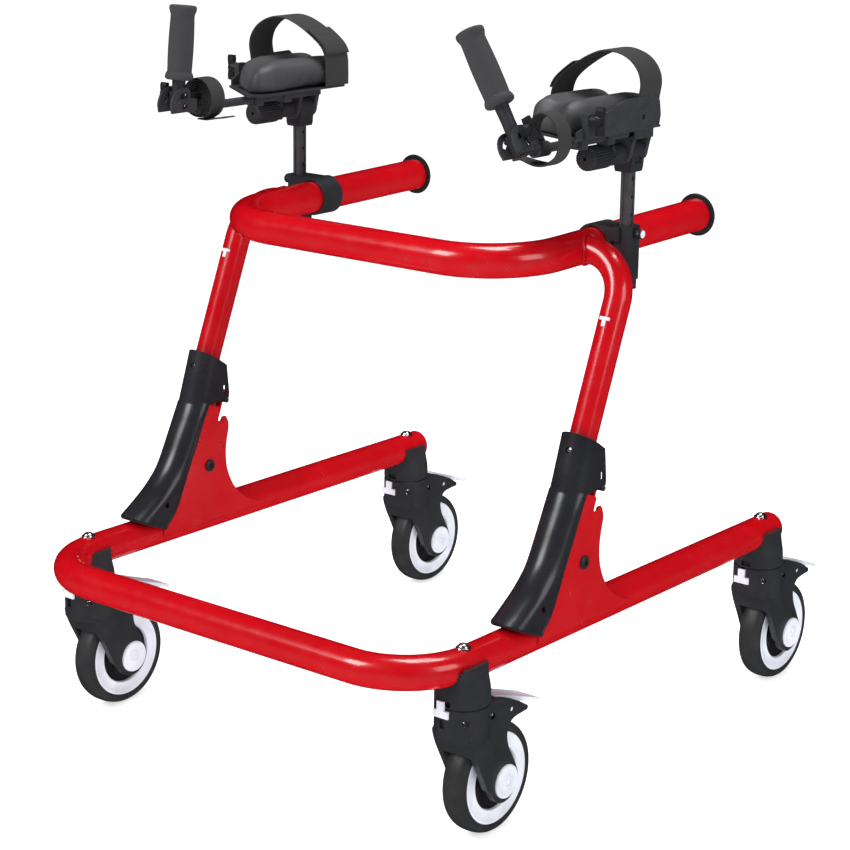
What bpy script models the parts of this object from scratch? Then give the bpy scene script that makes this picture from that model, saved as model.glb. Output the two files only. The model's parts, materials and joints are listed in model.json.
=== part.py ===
"""Walking frame: a wheeled gait trainer with a folding handlebar and two forearm platforms.

Metres, +Z up, floor at z = 0, x = 0 on the centre plane. The closed end of the base
faces -Y. Stations along Y are counted from the front caster screws and moved at the
end so that the origin sits under the middle of the bounding box.
"""
import math

import bmesh
import bpy
from mathutils import Matrix, Vector

# ---------------------------------------------------------------- overall sizes
RAIL_X = 0.2818
RAIL_Z = 0.2015
RAIL_TUBE_R = 0.0190
RAIL_WALL = 0.0016
CASTER_PITCH = 0.5940
FRONT_BAR_Y = -0.0780
RAIL_OVERHANG = 0.0220
RAIL_END_Y = CASTER_PITCH + RAIL_OVERHANG
BASE_BEND_R = 0.0850
FIT = 0.0003

# ---------------------------------------------------------------- casters
WHEEL_R = 0.0625
WHEEL_TRAIL = 0.0440
WHEEL_HALF = 0.0145
HUB_HALF = 0.0178
RIM_OUTER_R = 0.0512
RIM_INNER_R = 0.0356
WHEEL_FACETS = 28
AXLE_R = 0.0050
AXLE_PLAY = 0.0002
AXLE_CAP_R = 0.0190
AXLE_CAP_T = 0.0030
CASTER_BODY_R = 0.0300
COLLAR_TOP_Z = 0.1600
COLLAR_LOW_Z = 0.1220
SWIVEL_GAP = 0.0007
STEM_R = 0.0080
STEM_TOP_Z = 0.1700
FORK_INNER = 0.0185
FORK_OUTER = 0.0262
SADDLE_HALF_X = 0.0232
SADDLE_TOP_Z = 0.2065
PEDAL_PIVOT_Y = 0.0525
PEDAL_PIVOT_Z = 0.1420
PEDAL_REACH = 0.1180
PEDAL_HALF = 0.0165
PEDAL_PLAY = 0.0005
PEDAL_PIN_R = 0.0024
PEDAL_TIP_T = 0.0040
LOCK_TRAVEL = 0.0100

# ---------------------------------------------------------------- side plates and pivot
PLATE_INNER = 0.0175
PLATE_OUTER = 0.0205
PLATE_DROP = 0.0030
PIVOT_Y = 0.1850
PIVOT_Z = 0.2705
PIVOT_R = 0.0040
PIVOT_HEAD_R = 0.0075
LEG_OFFSET = 0.0300
LEG_LEAN_DEG = 21.8
LATCH_OFFSET = 0.0016
LATCH_HIGH = 0.0833
LATCH_LOW = 0.0593
LATCH_R = 0.0034
SLEEVE_OUTER = 0.0236
SLEEVE_WALL = 0.0026

# ---------------------------------------------------------------- upper frame
BAR_X = 0.2144
BAR_TUBE_R = 0.0193
BAR_WALL = 0.0016
BAR_FRONT_Y = 0.1500
BAR_END_Y = 0.5220
BAR_Z0 = 0.5862
BAR_RISE = 0.0212
BAR_BEND_R = 0.0900
LEG_TUBE_R = 0.0155
LEG_WALL = 0.0015
LEG_BEND_R = 0.0520
LEG_TOP_Y = 0.2815
CAP_R = 0.0255
CAP_T = 0.0030

# ---------------------------------------------------------------- forearm supports
POST_X = 0.2480
POST_HALF = 0.0065
POST_CHAMFER = 0.0020
POST_LOW_Z = 0.5290
POST_HOLE_R = 0.0024
POST_HOLE_PITCH = 0.0200
COLLAR_WALL = 0.0040
COLLAR_LENGTH = 0.0340
SOCKET_LOW_Z = 0.5560
SOCKET_TOP_Z = 0.6165
SOCKET_WALL = 0.0060
SOCKET_HALF_Y = POST_HALF + SOCKET_WALL
PIN_Z = 0.6085
PIN_R = 0.0021
TILT_Z = 0.6990
TILT_R = 0.0135
TILT_SHAFT_R = 0.0040
HEAD_WALL = 0.0050
HEAD_HALF_Y = POST_HALF + HEAD_WALL
KNOB_R = 0.0140
KNOB_FRONT = 0.0850
KNOB_BACK = 0.0450
PLATFORM_Z = 0.7285
PLATFORM_T = 0.0025
PLATFORM_BACK = 0.0050
CUSHION_HALF = 0.0438
CUSHION_BACK = 0.0180
STRAP_T = 0.0022
STRAP_WIDTH = 0.0420
STRAP_CENTRE = 0.0330
STRAP_SLANT = 0.0100
ROD_Z = 0.7222
ROD_R = 0.0050
GRIP_PIVOT_RISE = 0.0050
GRIP_SLOT_R = 0.0120
ROD_KNOB_Z = 0.7495
CLEVIS_INNER = 0.0092
CLEVIS_T = 0.0022
GRIP_LENGTH = 0.0840
GRIP_R = 0.0143
STRAP_BAND = 0.0230

LEAN = math.radians(LEG_LEAN_DEG)
ALONG = (math.sin(LEAN), math.cos(LEAN))
AHEAD = (-math.cos(LEAN), math.sin(LEAN))
TUBE_SIDES = 16
BAR_FACE = RAIL_TUBE_R * math.cos(math.pi / TUBE_SIDES)
CENTRE_Y = (CASTER_PITCH + PEDAL_REACH + FRONT_BAR_Y - BAR_FACE) / 2

RED = ("red_paint", (0.72, 0.01, 0.02, 1.0), 0.25, 0.0)
BLACK = ("black_plastic", (0.03, 0.03, 0.035, 1.0), 0.5, 0.0)
RUBBER = ("tyre_rubber", (0.04, 0.04, 0.045, 1.0), 0.7, 0.0)
WHITE = ("white_plastic", (0.85, 0.86, 0.9, 1.0), 0.4, 0.0)
DARK_METAL = ("dark_metal", (0.09, 0.09, 0.1, 1.0), 0.45, 0.6)
VINYL = ("vinyl", (0.05, 0.05, 0.055, 1.0), 0.4, 0.0)
WEBBING = ("webbing", (0.03, 0.03, 0.03, 1.0), 0.9, 0.0)
GRIP_FOAM = ("grip_rubber", (0.04, 0.04, 0.045, 1.0), 0.65, 0.0)


# ---------------------------------------------------------------- solid makers
def arc(centre, radius, start_deg, end_deg, steps):
    """Points on a circle in a plane, both ends included."""
    points = []
    for i in range(steps + 1):
        angle = math.radians(start_deg + (end_deg - start_deg) * i / steps)
        points.append((centre[0] + radius * math.cos(angle), centre[1] + radius * math.sin(angle)))
    return points


def point_on(axis, plane_point, height):
    """A 3-D point from two in-plane coordinates and the coordinate along the axis."""
    a, b = plane_point
    if axis == "X":
        return (height, a, b)
    if axis == "Y":
        return (a, height, b)
    return (a, b, height)


def prism(axis, outline, low, high):
    """A straight extrusion of a closed outline between two heights on an axis."""
    count = len(outline)
    verts = [point_on(axis, p, low) for p in outline] + [point_on(axis, p, high) for p in outline]
    faces = [tuple(range(count)), tuple(range(2 * count - 1, count - 1, -1))]
    for i in range(count):
        j = (i + 1) % count
        faces.append((i, i + count, j + count, j))
    return verts, faces


def box(x_range, y_range, z_range):
    """An axis-aligned block."""
    (left, right), (front, back) = x_range, y_range
    corners = [(left, front), (right, front), (right, back), (left, back)]
    return prism("Z", corners, z_range[0], z_range[1])


def turned(axis, profile, centre, steps, phase=0.5):
    """A solid of revolution from (radius, height) pairs; radius 0 closes an end."""
    verts = []
    rings = []
    for radius, height in profile:
        if radius == 0.0:
            rings.append([len(verts)])
            verts.append(point_on(axis, centre, height))
            continue
        rings.append(list(range(len(verts), len(verts) + steps)))
        for i in range(steps):
            angle = 2 * math.pi * (i + phase) / steps
            spot = (centre[0] + radius * math.cos(angle), centre[1] + radius * math.sin(angle))
            verts.append(point_on(axis, spot, height))
    closed = profile[0][0] > 0.0
    faces = []
    for k in range(len(rings) if closed else len(rings) - 1):
        one, two = rings[k], rings[(k + 1) % len(rings)]
        for i in range(steps):
            j = (i + 1) % steps
            if len(one) == 1:
                faces.append((one[0], two[i], two[j]))
            elif len(two) == 1:
                faces.append((one[i], two[0], one[j]))
            else:
                faces.append((one[i], two[i], two[j], one[j]))
    return verts, faces


def rod(axis, radius, centre, low, high, steps=16, phase=0.5):
    """A plain round bar."""
    return turned(axis, [(0.0, low), (radius, low), (radius, high), (0.0, high)], centre, steps, phase)


def rounded_path(corners, bend_radius, steps):
    """A polyline whose inner corners are replaced by arcs."""
    path = [Vector(corners[0])]
    for before, corner, after in zip(corners, corners[1:], corners[2:]):
        before, corner, after = Vector(before), Vector(corner), Vector(after)
        back = (before - corner).normalized()
        onward = (after - corner).normalized()
        half = back.angle(onward) / 2
        reach = bend_radius / math.tan(half)
        centre = corner + (back + onward).normalized() * (bend_radius / math.sin(half))
        start = corner + back * reach - centre
        turn = math.pi - 2 * half
        axis = back.cross(onward).normalized()
        for i in range(steps + 1):
            path.append(centre + Matrix.Rotation(-turn * i / steps, 3, axis) @ start)
    path.append(Vector(corners[-1]))
    return path


def swept(path, radius, steps, up, scale=1.0):
    """A round bar along a planar path; up is the normal of the path's plane."""
    verts = []
    up = Vector(up).normalized()
    for i, spot in enumerate(path):
        before = path[max(i - 1, 0)]
        after = path[min(i + 1, len(path) - 1)]
        forward = (after - before).normalized()
        side = forward.cross(up).normalized()
        stretch = 1.0
        if 0 < i < len(path) - 1:
            half = (path[i + 1] - spot).angle(spot - path[i - 1]) / 2
            stretch = 1 / math.cos(half)
        for k in range(steps):
            angle = 2 * math.pi * (k + 0.5) / steps
            offset = side * (math.cos(angle) * radius * stretch) + up * (math.sin(angle) * radius * scale)
            verts.append(tuple(spot + offset))
    faces = [tuple(range(steps)), tuple(range(len(verts) - 1, len(verts) - steps - 1, -1))]
    for i in range(len(path) - 1):
        for k in range(steps):
            j = (k + 1) % steps
            low = i * steps
            faces.append((low + k, low + steps + k, low + steps + j, low + j))
    return verts, faces


def lofted(sections):
    """A closed solid through equal-length closed sections given as 3-D points."""
    count = len(sections[0])
    verts = [tuple(p) for section in sections for p in section]
    faces = [tuple(range(count)), tuple(range(len(verts) - 1, len(verts) - count - 1, -1))]
    for i in range(len(sections) - 1):
        for k in range(count):
            j = (k + 1) % count
            low = i * count
            faces.append((low + k, low + count + k, low + count + j, low + j))
    return verts, faces


def shifted(shape, dx=0.0, dy=0.0, dz=0.0):
    """The same shape moved."""
    verts, faces = shape
    return [(x + dx, y + dy, z + dz) for x, y, z in verts], faces


def spun(shape, axis, centre, degrees):
    """The same shape turned about an axis through a point."""
    verts, faces = shape
    turn = Matrix.Rotation(math.radians(degrees), 4, axis)
    around = Matrix.Translation(centre) @ turn @ Matrix.Translation(-Vector(centre))
    return [tuple(around @ Vector(v)) for v in verts], faces


def mesh_object(name, shape):
    """A temporary object with outward normals."""
    verts, faces = shape
    mesh = bpy.data.meshes.new(name)
    mesh.from_pydata([tuple(v) for v in verts], [], faces)
    work = bmesh.new()
    work.from_mesh(mesh)
    bmesh.ops.recalc_face_normals(work, faces=work.faces)
    work.to_mesh(mesh)
    work.free()
    thing = bpy.data.objects.new(name, mesh)
    bpy.context.scene.collection.objects.link(thing)
    return thing


def discard(thing):
    """Remove a temporary object and its mesh."""
    mesh = thing.data
    bpy.data.objects.remove(thing, do_unlink=True)
    bpy.data.meshes.remove(mesh)


def merged(shape, joined=(), cut=()):
    """One shape from a first solid, more solids joined to it and others cut away."""
    body = mesh_object("work", shape)
    tools = []
    for operation, shapes in (("UNION", joined), ("DIFFERENCE", cut)):
        for extra in shapes:
            tool = mesh_object("tool", extra)
            tools.append(tool)
            modifier = body.modifiers.new("step", "BOOLEAN")
            modifier.solver = "EXACT"
            modifier.operation = operation
            modifier.object = tool
    result = bpy.data.meshes.new_from_object(body.evaluated_get(bpy.context.evaluated_depsgraph_get()))
    work = bmesh.new()
    work.from_mesh(result)
    bmesh.ops.remove_doubles(work, verts=work.verts, dist=0.000002)
    bmesh.ops.dissolve_limit(work, angle_limit=math.radians(0.05), verts=work.verts, edges=work.edges)
    bmesh.ops.triangulate(work, faces=[f for f in work.faces if len(f.verts) > 4])
    work.to_mesh(result)
    work.free()
    verts = [tuple(v.co) for v in result.vertices]
    faces = [tuple(p.vertices) for p in result.polygons]
    bpy.data.meshes.remove(result)
    discard(body)
    for tool in tools:
        discard(tool)
    return verts, faces


MATERIALS = {}


def material(look):
    """The shared material for one look, made on first use."""
    name, colour, roughness, metallic = look
    if name not in MATERIALS:
        made = bpy.data.materials.new(name)
        made.use_nodes = True
        shader = made.node_tree.nodes["Principled BSDF"]
        shader.inputs["Base Color"].default_value = colour
        shader.inputs["Roughness"].default_value = roughness
        shader.inputs["Metallic"].default_value = metallic
        made.diffuse_color = colour
        MATERIALS[name] = made
    return MATERIALS[name]


def add_node(name, shape, look, origin, sharp_deg=35):
    """A finished piece whose own origin lies on its joint axis or at its seat."""
    thing = mesh_object(name, shifted(shape, -origin[0], -origin[1], -origin[2]))
    thing.location = (origin[0], origin[1] - CENTRE_Y, origin[2])
    thing.data.materials.append(material(look))
    thing.data.shade_smooth()
    thing.data.set_sharp_from_angle(angle=math.radians(sharp_deg))
    return thing


# ---------------------------------------------------------------- casters
def base_path():
    """Centre line of the U-shaped base tube."""
    corners = [(RAIL_X, RAIL_END_Y, RAIL_Z), (RAIL_X, FRONT_BAR_Y, RAIL_Z)]
    corners += [(-RAIL_X, FRONT_BAR_Y, RAIL_Z), (-RAIL_X, RAIL_END_Y, RAIL_Z)]
    return rounded_path(corners, BASE_BEND_R, 6)


def caster_housing(x, y):
    """Fixed caster body: a round socket with a saddle that cups the rail from below."""
    bottom = COLLAR_TOP_Z + SWIVEL_GAP
    drum = rod("Z", CASTER_BODY_R, (x, y), bottom, 0.1790, 24)
    saddle = box((x - SADDLE_HALF_X, x + SADDLE_HALF_X), (y - 0.0255, y + 0.0185), (0.1713, SADDLE_TOP_Z))
    channel = swept(base_path(), RAIL_TUBE_R + FIT, TUBE_SIDES, (0, 0, 1))
    opening = box((x - 0.0188, x + 0.0188), (y - 0.05, y + 0.05), (RAIL_Z, 0.23))
    stem_bore = rod("Z", STEM_R + FIT, (x, y), bottom - 0.01, STEM_TOP_Z + 0.0008, 12)
    lock_slot = box((x - 0.0065, x + 0.0065), (y - 0.04, y - 0.0255), (0.1632, 0.1695))
    return merged(drum, [saddle], [channel, opening, stem_bore, lock_slot])


def caster_fork(x, y):
    """Swivelling fork: collar, kingpin stem, two legs and the brake housing behind."""
    hub = (y + WHEEL_TRAIL - 0.0020, WHEEL_R)
    collar = rod("Z", CASTER_BODY_R, (x, y), COLLAR_LOW_Z, COLLAR_TOP_Z, 24)
    stem = rod("Z", STEM_R, (x, y), COLLAR_TOP_Z - 0.01, STEM_TOP_Z, 12)
    leg = [(y - 0.0172, 0.1260), (y - 0.0126, 0.1115), (y + 0.0134, 0.0580)]
    leg += arc(hub, 0.0235, 200, 385, 7)
    leg += [(y + 0.0500, 0.0980), (y + 0.0448, 0.1130), (y + 0.0470, 0.1230), (y + 0.0531, 0.1307)]
    leg += [(y + 0.0780, 0.1335), (y + 0.0815, 0.1380), (y + 0.0600, 0.1505)]
    leg += [(y + 0.0350, 0.1595), (y + 0.0150, 0.1595)]
    body = prism("X", leg, x - FORK_OUTER, x + FORK_OUTER)
    wheel_well = rod("X", WHEEL_R + 0.0030, (y + WHEEL_TRAIL, WHEEL_R), x - FORK_INNER, x + FORK_INNER, 24)
    low_gap = box((x - FORK_INNER, x + FORK_INNER), (y - 0.06, y + 0.12), (0.0, 0.0800))
    bay_half = PEDAL_HALF + PEDAL_PLAY
    pedal_bay = box((x - bay_half, x + bay_half), (y + 0.0335, y + 0.12), (0.1290, 0.20))
    axle_bore = rod("X", AXLE_R + FIT, (y + WHEEL_TRAIL, WHEEL_R), x - 0.04, x + 0.04, 16)
    pin_bore = rod("X", PEDAL_PIN_R + FIT, (y + PEDAL_PIVOT_Y, PEDAL_PIVOT_Z), x - 0.04, x + 0.04, 10)
    lock_way = box((x - 0.0072, x - 0.0008), (y - 0.04, y - 0.0262), (0.1380, COLLAR_TOP_Z + 0.01))
    return merged(collar, [stem, body], [wheel_well, low_gap, pedal_bay, axle_bore, pin_bore, lock_way])


def wheel(x, y):
    """Tyre, rim and hub in one moulding, with a flat facet of the tread underneath."""
    true_r = 1 / math.cos(math.pi / WHEEL_FACETS)
    half = [(AXLE_R + AXLE_PLAY, HUB_HALF), (0.0120, HUB_HALF), (0.0130, 0.0080), (0.0335, 0.0080)]
    half += [(RIM_INNER_R, 0.0122), (RIM_OUTER_R, WHEEL_HALF), (0.0585, WHEEL_HALF - 0.0012)]
    half += [(WHEEL_R, 0.0050)]
    profile = [(r * true_r, x + w) for r, w in half]
    profile += [(r * true_r, x - w) for r, w in reversed(half)]
    return turned("X", profile, (y + WHEEL_TRAIL, WHEEL_R), WHEEL_FACETS)


def wheel_axle(x, y):
    """Axle bolt with a round cap outside each fork leg."""
    seat = FORK_OUTER + FIT
    half = [(0.0, seat + AXLE_CAP_T), (AXLE_CAP_R - 0.0012, seat + AXLE_CAP_T)]
    half += [(AXLE_CAP_R, seat + 0.0010), (AXLE_CAP_R, seat), (AXLE_R, seat)]
    profile = [(r, x + w) for r, w in half] + [(r, x - w) for r, w in reversed(half)]
    return turned("X", profile, (y + WHEEL_TRAIL, WHEEL_R), 16)


def brake_pedal(x, y):
    """Foot pedal over the wheel, hinged in the brake housing, with a shoe under it."""
    pivot = (y + PEDAL_PIVOT_Y, PEDAL_PIVOT_Z)
    tip_z = 0.1325
    blade = [(y + 0.0345, 0.1600), (y + 0.0600, 0.1530), (y + 0.0850, 0.1440), (y + PEDAL_REACH, tip_z)]
    blade += [(y + PEDAL_REACH - 0.0015, tip_z - PEDAL_TIP_T), (y + 0.0850, 0.1385), (y + 0.0600, 0.1475)]
    blade += [(y + 0.0345, 0.1560)]
    top = prism("X", blade, x - PEDAL_HALF, x + PEDAL_HALF)
    web = [(y + 0.0465, 0.1530), (y + 0.0465, 0.1380), (y + 0.0580, 0.1340), (y + 0.0740, 0.1250)]
    web += [(y + 0.0800, 0.1262), (y + 0.0720, 0.1440)]
    shoe = prism("X", web, x - 0.0110, x + 0.0110)
    pin = rod("X", PEDAL_PIN_R, pivot, x - FORK_OUTER + 0.0006, x + FORK_OUTER - 0.0006, 10)
    return merged(top, [shoe, pin])


def swivel_lock(x, y, lift):
    """T-shaped slider on the collar; its tongue rises in front of the caster body."""
    outline = [(x - 0.0140, 0.1410), (x + 0.0060, 0.1410), (x + 0.0060, 0.1490), (x + 0.0005, 0.1490)]
    outline += [(x + 0.0005, 0.1590), (x - 0.0085, 0.1590), (x - 0.0085, 0.1490), (x - 0.0140, 0.1490)]
    plate = prism("Y", outline, y - CASTER_BODY_R - FIT - 0.0026, y - CASTER_BODY_R - FIT)
    key = box((x - 0.0066, x - 0.0014), (y - CASTER_BODY_R - 0.0010, y - 0.0266), (0.1420, 0.1480))
    return shifted(merged(plate, [key]), dz=lift)


def build_caster(end, side):
    """All six pieces of one caster."""
    x = RAIL_X if side == "right" else -RAIL_X
    y = 0.0 if end == "front" else CASTER_PITCH
    tag = end + "_" + side
    hub = (x, y + WHEEL_TRAIL, WHEEL_R)
    add_node("caster_housing_" + tag, caster_housing(x, y), BLACK, (x, y, COLLAR_TOP_Z))
    add_node("caster_fork_" + tag, caster_fork(x, y), BLACK, (x, y, COLLAR_TOP_Z))
    add_node("wheel_" + tag, wheel(x, y), RUBBER, hub)
    add_node("axle_" + tag, wheel_axle(x, y), WHITE, hub)
    add_node("brake_pedal_" + tag, brake_pedal(x, y), WHITE, (x, y + PEDAL_PIVOT_Y, PEDAL_PIVOT_Z))
    lift = LOCK_TRAVEL if end == "front" else 0.0
    lock_seat = (x - 0.0040, y - CASTER_BODY_R, 0.1450 + lift)
    add_node("swivel_lock_" + tag, swivel_lock(x, y, lift), WHITE, lock_seat)


# ---------------------------------------------------------------- base
def from_pivot(ahead, along):
    """A (y, z) point from distances ahead of and along the leg, counted from the pivot."""
    return (PIVOT_Y + AHEAD[0] * ahead + ALONG[0] * along, PIVOT_Z + AHEAD[1] * ahead + ALONG[1] * along)


def sleeve_stations():
    """Front-nose and rear-edge points of the leg sleeve, from its top to the rail."""
    return [((0.1848, 0.4137), (0.2150, 0.3935)), ((0.1735, 0.3800), (0.2175, 0.3700)),
            ((0.1645, 0.3512), (0.2190, 0.3555)), ((0.1637, 0.3497), (0.1815, 0.3492)),
            ((0.1462, 0.3155), (0.1640, 0.3085)), ((0.1279, 0.2825), (0.1470, 0.2740)),
            ((0.1050, 0.2580), (0.1350, 0.2480)), ((0.0800, 0.2400), (0.1235, 0.2260)),
            ((0.0615, 0.2290), (0.1080, 0.2095))]


def side_plate_outline():
    """Profile of a side plate, from its front foot up, over the notch and down the back."""
    foot_z = RAIL_Z - PLATE_DROP
    edge = [(0.1040, foot_z), (0.1065, 0.2080)]
    for nose, rear in reversed(sleeve_stations()[3:8]):
        edge.append((rear[0] - 0.0012, rear[1]))
    edge += [(0.1845, 0.3475), (0.2035, 0.3420)]
    notch_left = from_pivot(LATCH_OFFSET + LATCH_R + FIT, LATCH_LOW + 0.0120)
    notch_right = from_pivot(LATCH_OFFSET - LATCH_R - FIT, LATCH_LOW + 0.0030)
    edge.append(notch_left)
    for turn in range(5):
        angle = math.pi * turn / 4
        reach = LATCH_R + FIT
        edge.append(from_pivot(LATCH_OFFSET + reach * math.cos(angle), LATCH_LOW - reach * math.sin(angle)))
    edge.append(notch_right)
    edge += [(0.2160, 0.3275), (0.2205, 0.3150), (0.2165, 0.2950), (0.2150, 0.2790), (0.2172, 0.2600)]
    edge += [(0.2265, 0.2390), (0.2410, 0.2222), (0.2620, 0.2095), (0.2740, foot_z)]
    return edge


def side_plate(x):
    """Two equal walls, each welded along its foot to one side of the rail."""
    outline = side_plate_outline()
    outer = prism("X", outline, x - PLATE_OUTER, x + PLATE_OUTER)
    gap = box((x - PLATE_INNER, x + PLATE_INNER), (0.0, 0.4), (RAIL_Z - RAIL_TUBE_R, 0.5))
    bore = rod("X", PIVOT_R + FIT, (PIVOT_Y, PIVOT_Z), x - 0.05, x + 0.05, 16)
    return merged(outer, [], [gap, bore])


def base_frame():
    """U-shaped base tube, open at both rear ends, with a side plate welded to each rail."""
    path = base_path()
    tube = swept(path, RAIL_TUBE_R, TUBE_SIDES, (0, 0, 1))
    reach = Vector((0, 0.01, 0))
    inner_path = [path[0] + reach] + path[1:-1] + [path[-1] + reach]
    bore = swept(inner_path, RAIL_TUBE_R - RAIL_WALL, TUBE_SIDES, (0, 0, 1))
    return merged(tube, [side_plate(RAIL_X), side_plate(-RAIL_X)], [bore])


def pivot_bolt(x):
    """Shouldered fold pivot with a low head outside each plate."""
    seat = PLATE_OUTER + FIT
    half = [(0.0, seat + 0.0028), (PIVOT_HEAD_R - 0.0018, seat + 0.0028), (PIVOT_HEAD_R, seat + 0.0010)]
    half += [(PIVOT_HEAD_R, seat), (PIVOT_R, seat)]
    profile = [(r, x + w) for r, w in half] + [(r, x - w) for r, w in reversed(half)]
    return turned("X", profile, (PIVOT_Y, PIVOT_Z), 16)


def sleeve_profile(x, nose, rear, half_width, wall):
    """One C-shaped section, walked from one rear edge round the nose to the other."""
    nose, rear = Vector(nose), Vector(rear)
    depth = (nose - rear).length - wall
    straight = max(depth - half_width, 0.0)
    round_depth = depth - straight
    forward = (nose - rear).normalized()
    points = []
    spots = [(half_width, 0.0)]
    for i in range(9):
        angle = math.pi * i / 8
        spots.append((half_width * math.cos(angle), straight + round_depth * math.sin(angle)))
    spots.append((-half_width, 0.0))
    spots[1] = (half_width, straight + 0.02 * round_depth)
    spots[9] = (-half_width, straight + 0.02 * round_depth)
    for dx, ahead in spots:
        place = rear + forward * ahead
        points.append((x + dx, place[0], place[1]))
    return points


def leg_sleeve(x):
    """Open-backed cover in front of the leg, flared at its foot to sit over the rail."""
    sections = []
    for nose, rear in sleeve_stations():
        outer = sleeve_profile(x, nose, rear, SLEEVE_OUTER, 0.0)
        inner = sleeve_profile(x, nose, rear, SLEEVE_OUTER - SLEEVE_WALL, SLEEVE_WALL)
        sections.append(outer + inner[::-1])
    shell = lofted(sections)
    screw_seat = spun(rod("Y", 0.0030, (x, 0.0), 0.0, 0.05, 12), "X", (x, 0.0, 0.0), -20)
    screw_seat = shifted(screw_seat, dy=0.155, dz=0.4035)
    peep = rod("X", 0.0024, (0.1080, 0.2385), x - 0.05, x + 0.05, 12)
    slot_outline = [(0.2090, 0.3590), (0.2125, 0.3590), (0.2125, 0.3690), (0.2090, 0.3690)]
    slot = prism("X", slot_outline, x - 0.05, x + 0.05)
    return merged(shell, [], [screw_seat, peep, slot])


# ---------------------------------------------------------------- upper frame
def bar_z(y):
    """Height of the handlebar axis at a station."""
    return BAR_Z0 + BAR_RISE * y


def leg_solid(x, radius, low, top_x, steps=12):
    """One leg from its foot to its weld, or the bore inside it."""
    foot = from_pivot(LEG_OFFSET, low)
    top = (LEG_TOP_Y, bar_z(LEG_TOP_Y))
    corners = [(x, foot[0], foot[1]), (x, top[0], top[1]), (top_x, top[0], top[1])]
    path = rounded_path(corners, LEG_BEND_R, 5)
    flat = (Vector(corners[1]) - Vector(corners[0])).cross(Vector(corners[2]) - Vector(corners[1]))
    return swept(path, radius, steps, flat)


def pivot_lug(x):
    """Flat boss that carries the fold pivot behind the leg's foot."""
    outline = [from_pivot(0.0200, 0.0160), from_pivot(0.0200, -0.0060)]
    outline += [from_pivot(0.0130 * math.cos(a), 0.0130 * math.sin(a))
                for a in [-math.pi / 2 - i * math.pi / 6 for i in range(7)]]
    return prism("X", outline, x - 0.0100, x + 0.0100)


def latch_lug(x):
    """Block behind the leg with the slot in which the latch pin travels."""
    outline = [from_pivot(0.0180, 0.0960), from_pivot(-0.0060, 0.0960)]
    outline += [from_pivot(-0.0060, 0.0500), from_pivot(0.0180, 0.0420)]
    return prism("X", outline, x - 0.0110, x + 0.0110)


def latch_slot(x):
    """The cut for the latch pin's travel."""
    reach = LATCH_R + FIT
    corners = [(reach, LATCH_LOW - reach), (reach, LATCH_HIGH + reach)]
    corners += [(-reach, LATCH_HIGH + reach), (-reach, LATCH_LOW - reach)]
    outline = [from_pivot(LATCH_OFFSET + a, b) for a, b in corners]
    return prism("X", outline, x - 0.05, x + 0.05)


def upper_frame():
    """Handlebar with both legs welded on, hollow, with pivot and latch blocks."""
    tilt = math.atan(BAR_RISE)
    up = (0, -math.sin(tilt), math.cos(tilt))
    corners = [(s * BAR_X, y, bar_z(y)) for s, y in
               ((1, BAR_END_Y), (1, BAR_FRONT_Y), (-1, BAR_FRONT_Y), (-1, BAR_END_Y))]
    path = rounded_path(corners, BAR_BEND_R, 6)
    bar = swept(path, BAR_TUBE_R, TUBE_SIDES, up)
    reach = Vector((0, 0.01, 0.01 * BAR_RISE))
    inner_path = [path[0] + reach] + path[1:-1] + [path[-1] + reach]
    bar_bore = swept(inner_path, BAR_TUBE_R - BAR_WALL, TUBE_SIDES, up)
    joined = []
    cut = [bar_bore]
    for side in (1, -1):
        x = side * RAIL_X
        joined.append(leg_solid(x, LEG_TUBE_R, -0.0080, side * (BAR_X + 0.0120)))
        joined += [pivot_lug(x), latch_lug(x)]
        cut.append(leg_solid(x, LEG_TUBE_R - LEG_WALL, -0.0180, side * (BAR_X + 0.0030)))
        cut.append(latch_slot(x))
        cut.append(rod("X", PIVOT_R + 0.00015, (PIVOT_Y, PIVOT_Z), x - 0.05, x + 0.05, 16))
    return merged(bar, joined, cut)


def latch_pin(x):
    """Cross pin that drops into the notches of both side plates."""
    spot = from_pivot(LATCH_OFFSET, LATCH_HIGH)
    half = SLEEVE_OUTER + 0.0012
    profile = [(0.0, x - half), (LATCH_R - 0.0008, x - half), (LATCH_R, x - half + 0.0008)]
    profile += [(LATCH_R, x + half - 0.0008), (LATCH_R - 0.0008, x + half), (0.0, x + half)]
    return turned("X", profile, spot, 16)


def handle_cap(side):
    """Flanged plug in the rear end of the handlebar."""
    x = side * BAR_X
    low = BAR_END_Y + FIT
    plug_r = BAR_TUBE_R - BAR_WALL - 0.0007
    profile = [(0.0, low - 0.0140), (plug_r, low - 0.0140), (plug_r, low), (CAP_R - 0.0008, low)]
    profile += [(CAP_R, low + 0.0008), (CAP_R, low + CAP_T - 0.0010), (CAP_R - 0.0015, low + CAP_T)]
    profile += [(0.0, low + CAP_T)]
    flat = turned("Y", profile, (x, bar_z(BAR_END_Y)), 24)
    return spun(flat, "X", (x, BAR_END_Y, bar_z(BAR_END_Y)), math.degrees(math.atan(BAR_RISE)))


# ---------------------------------------------------------------- forearm supports
class Arm:
    """Positions shared by the pieces of one forearm support."""

    def __init__(self, tag, side, post_y, platform, knob_ahead, grip):
        self.tag = tag
        self.side = side
        self.post_y = post_y
        middle_x, setback, self.nose_out, self.nose_in = platform
        self.seat_y = post_y + setback
        self.knob_y = self.seat_y - knob_ahead
        rod_x, self.grip_y, self.grip_low, self.roll_deg, self.lean_deg, strap_gap = grip
        self.post_x = side * POST_X
        self.centre_x = side * middle_x
        self.rod_x = side * rod_x
        self.strap_y = self.grip_y + 0.0120 + strap_gap

    def x_out(self, distance):
        """X at a distance outboard of the platform's middle."""
        return self.centre_x + self.side * distance

    def span(self, low, high, base=None):
        """An ordered X range from two outboard distances."""
        base = self.centre_x if base is None else base
        return tuple(sorted((base + self.side * low, base + self.side * high)))


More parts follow.
